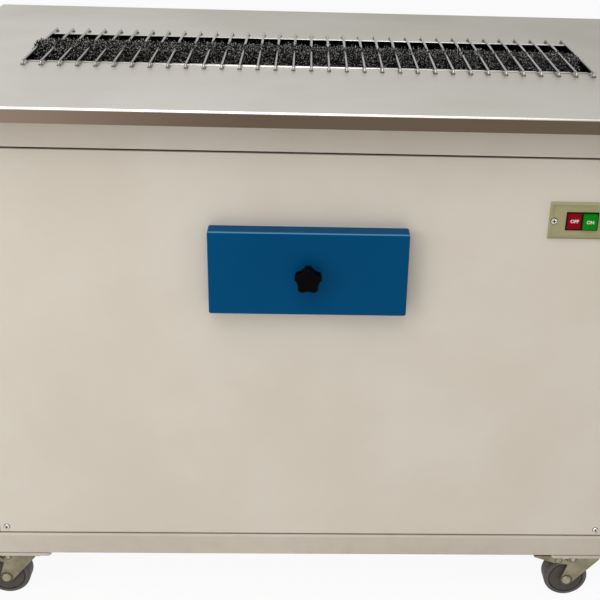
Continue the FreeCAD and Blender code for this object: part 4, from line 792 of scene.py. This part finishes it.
BEAD_WIDTH = 0.0014
BEAD_FLAT = 0.8
for name, node, finish, slot, rider, inset, rise in (
    ("switch_plate_bead", "switch_plate", plate_olive, "switch_olive", "cabinet", 0.0034, 0.0009),
    ("off_button_rim", "off_button", stop_red, "button_red", "off_push", 0.0006, 0.0006),
    ("on_button_rim", "on_button", start_green, "button_green", "on_push", 0.0006, 0.0006),
):
    low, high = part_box(node)
    half_width, half_height = (high[0] - low[0]) / 2 - inset, (high[2] - low[2]) / 2 - inset
    bead_top = rise * BEAD_FLAT
    bead_section = ((0.0, -BEDDED), (0.3, bead_top), (0.7, bead_top), (1.0, -BEDDED))
    bead_mesh = bead_round(name, half_width, half_height, BEAD_WIDTH, bead_section)
    bead_mesh.transform(faced(node))
    bead_mesh.materials.append(finish.material)
    bead = put_in(name, bead_mesh)
    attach(bead, rider)

letter_white = moulding("letter_white", seen(236, 234, 228), seen(222, 219, 212), roughness=0.5)
LETTER_HEIGHT = 0.007
LETTER_WEIGHT = 0.00016
LETTER_RAISE = 0.0002
for word, node, rider, slot in (
    ("OFF", "off_button", "off_push", "button_red"),
    ("ON", "on_button", "on_push", "button_green"),
):
    text = bpy.data.curves.new(word, "FONT")
    text.body = word
    text.size = LETTER_HEIGHT
    text.extrude = LETTER_RAISE
    text.offset = LETTER_WEIGHT
    text.align_x = "CENTER"
    text.align_y = "CENTER"
    typed = put_in(word, text)
    bpy.context.view_layer.update()
    letter_mesh = bpy.data.meshes.new_from_object(typed)
    bpy.data.objects.remove(typed)
    letter_mesh.transform(faced(node))
    letter_mesh.materials.append(letter_white.material)
    letters = put_in(f"{node}_letters", letter_mesh)
    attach(letters, rider)


# The casters: pressed forks in yellowish zinc plate turn on a ball race under a bolted top plate.
# Dark grey rubber tyres run on moulded hubs, and the front pair have brake pedals.
def yellow_zinc(name, bolts=()):
    """Yellowish zinc plate, with brighter bolt heads and a painted shade in the corner round them."""
    metal = Finish(name)
    bloom = metal.grain(48.0, detail=5)
    speck = metal.band(metal.grain(300.0, detail=3), 0.52, 0.7)
    tone = metal.blend(metal.band(bloom, 0.3, 0.7), seen(152, 145, 122), seen(126, 118, 95))
    for x, z, radius in bolts:
        off_head = metal.around(x, z, radius * 0.96, radius * 1.04)
        # The dark ring round each head is a painted shade.
        painted_shade = off_head * (1 - metal.around(x, z, radius * 1.2, radius * 1.5))
        tone = metal.blend(painted_shade * 0.7, tone, seen(46, 39, 29))
        tone = metal.blend(metal.around(x, z, radius * 0.9, radius), seen(160, 152, 132), tone)
    metal.shade({
        "Base Color": tone,
        "Metallic": 0.75,
        "Roughness": 0.36 + bloom * 0.14 + speck * 0.08,
        "Normal": metal.relief(speck, 0.0001, 0.2),
    })
    return metal


def tyre_rubber(name, x, z, seam):
    """Scuffed grey rubber, black with painted shade in the seam beside the hub."""
    rubber = Finish(name)
    scuff = rubber.band(rubber.grain(90.0, detail=5), 0.45, 0.75)
    pore = rubber.grain(900.0, detail=2)
    clean = rubber.blend(scuff, seen(78, 73, 69), seen(100, 94, 88))
    rubber.shade({
        "Base Color": rubber.blend(rubber.around(x, z, seam, seam * 1.025), seen(8, 7, 6), clean),
        "Roughness": 0.56 + scuff * 0.2,
        "Normal": rubber.relief(pore, 0.0003, 0.4),
    })
    return rubber


def dome(radius, rise):
    """A low rivet head that faces -Y."""
    SIDES = 16
    shape = bmesh.new()
    rings = turned_rings(shape, ((1.0, -0.0002), (0.94, 0.45), (0.7, 0.85)), radius, rise, SIDES)
    shape.faces.new(rings[-1])
    shape.faces.new(rings[0])
    head = made(shape, "rivet_head")
    for face in head.polygons:
        face.use_smooth = len(face.vertices) < SIDES
    return head


dress(yellow_zinc("yellow_zinc"), "caster_top_plates")
rivet_zinc = plating("rivet_zinc", seen(184, 176, 156), seen(150, 142, 121), roughness=0.3)
hub_plastic = moulding("hub_plastic", seen(88, 83, 78), seen(76, 71, 66), roughness=0.48)
AXLE_HEAD = 0.008
PEDAL_RIVET = 0.0048
PEDAL_BACK = 0.019
PEDAL_UP = 0.044
RIVET_AHEAD = 0.0066
FORK_OUT = 0.0055
RIVET_HEAD = 0.0046
# How far past the hub the tyre's painted seam shade reaches.
SEAM_SHADE = 0.002
rivet_master = dome(RIVET_HEAD, rise=0.002)
for corner in ("front_left", "front_right", "rear_left", "rear_right"):
    tyre_low, tyre_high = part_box(f"{corner}_tyre")
    hub_low, hub_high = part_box(f"{corner}_hub")
    axle_x, axle_z = (tyre_low[0] + tyre_high[0]) / 2, (tyre_low[2] + tyre_high[2]) / 2
    rivet_x, rivet_z = axle_x + RIVET_AHEAD, axle_z + PEDAL_UP
    pivot = (axle_x - PEDAL_BACK, axle_z + PEDAL_UP, PEDAL_RIVET)
    bolts = ((axle_x, axle_z, AXLE_HEAD), pivot, (rivet_x, rivet_z, RIVET_HEAD))
    zinc = yellow_zinc(f"{corner}_zinc", bolts)
    dress(zinc, f"{corner}_fork")
    if corner.startswith("front"):
        dress(zinc, f"{corner}_brake_pedal")
    seam = (hub_high[2] - hub_low[2]) / 2 + SEAM_SHADE
    dress(tyre_rubber(f"{corner}_rubber", axle_x, axle_z, seam), f"{corner}_tyre")
    dress(hub_plastic, f"{corner}_hub")
    near, far = tyre_low[1] - FORK_OUT, tyre_high[1] + FORK_OUT
    sides = [((rivet_x, near, rivet_z), 0.0), ((rivet_x, far, rivet_z), math.pi)]
    rivets = set_out(f"{corner}_rivets", rivet_master, sides, rivet_zinc)
    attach(rivets, f"{corner}_swivel")


# The studio: a seamless white floor that fades into white surroundings and keeps the shadow,
# one broad lamp overhead and in front, and two weaker ones that fill the sides.
def rays(nodes, kind):
    """1 on rays of one kind, and 0 on others."""
    return nodes.add("ShaderNodeLightPath", output=f"Is {kind} Ray")


FLOOR_REACH = 40.0
FLOOR_GLOW = 0.93
floor_mesh = bpy.data.meshes.new("studio_floor")
corner_signs = ((-1, -1), (1, -1), (1, 1), (-1, 1))
floor_corners = [(x * FLOOR_REACH, y * FLOOR_REACH, 0.0) for x, y in corner_signs]
floor_mesh.from_pydata(floor_corners, [], [(0, 1, 2, 3)])
floor = put_in("studio_floor", floor_mesh)
white = Finish("studio_white")
floor_shown = rays(white, "Camera") + rays(white, "Glossy") + rays(white, "Transmission")
glow = white.add("ShaderNodeEmission", {}, {"Color": (1, 1, 1, 1), "Strength": 1.0})
paper = white.add("ShaderNodeBsdfDiffuse", {}, {"Color": (0.86, 0.86, 0.86, 1)})
lit = white.add("ShaderNodeMixShader", {}, {0: floor_shown * FLOOR_GLOW, 1: paper, 2: glow})
white.plug(white.tree.nodes["Material Output"].inputs["Surface"], lit)
floor_mesh.materials.append(white.material)

world = bpy.data.worlds.new("studio")
bpy.context.scene.world = world
world.use_nodes = True
sky = Nodes(world.node_tree)
SKY_LIGHT = 0.42
SKY_GLOSS = 0.55
sky_shown = rays(sky, "Camera") + rays(sky, "Transmission") + rays(sky, "Glossy") * SKY_GLOSS
background = sky.tree.nodes["Background"]
sky.plug(background.inputs["Color"], (1, 1, 1, 1))
sky.plug(background.inputs["Strength"], SKY_LIGHT + sky_shown * (1 - SKY_LIGHT))


def lamp(name, place, aim, width, power):
    """A soft square lamp pointed at a place."""
    light = bpy.data.lights.new(name, "AREA")
    light.shape = "SQUARE"
    light.size = width
    light.energy = power
    stand = put_in(name, light)
    stand.location = place
    stand.rotation_euler = (Vector(aim) - Vector(place)).to_track_quat("-Z", "Y").to_euler()


lamp("overhead_lamp", place=(-0.4, -1.2, 3.0), aim=(0.0, 0.0, 0.6), width=2.2, power=46.0)
lamp("left_lamp", place=(-2.4, -2.2, 1.5), aim=(-0.2, 0.0, 0.5), width=1.6, power=24.0)
lamp("right_lamp", place=(2.6, -1.6, 1.4), aim=(0.0, 0.0, 0.5), width=1.6, power=6.0)

# The camera stands in front, a little above the worktop, and looks down.
# Its focal length and the middle of its picture are given in pixels of a square picture.
IMAGE_SIDE = 600.0
FOCAL_PIXELS = 1055.0
CENTRE_X = 346.0
CENTRE_Y = 273.7
SENSOR = 36.0
CAMERA_PLACE = (-0.003, -1.710, 1.273)
YAW = math.radians(2.38)
PITCH = math.radians(24.68)
ROLL = math.radians(-1.87)
ahead = math.cos(PITCH)
forward = Vector((math.sin(YAW) * ahead, math.cos(YAW) * ahead, -math.sin(PITCH)))
level = Vector((math.cos(YAW), -math.sin(YAW), 0.0))
down = forward.cross(level)
right = level * math.cos(ROLL) + down * math.sin(ROLL)
down = down * math.cos(ROLL) - level * math.sin(ROLL)
lens = bpy.data.cameras.new("camera")
lens.sensor_width = SENSOR
lens.lens = FOCAL_PIXELS / IMAGE_SIDE * SENSOR
lens.shift_x = (IMAGE_SIDE / 2 - CENTRE_X) / IMAGE_SIDE
lens.shift_y = (CENTRE_Y - IMAGE_SIDE / 2) / IMAGE_SIDE
camera = put_in("camera", lens)
turned = Matrix((right, -down, -forward)).transposed().to_4x4()
camera.matrix_world = Matrix.Translation(CAMERA_PLACE) @ turned
bpy.context.scene.camera = camera
bpy.context.scene.view_settings.view_transform = "Standard"
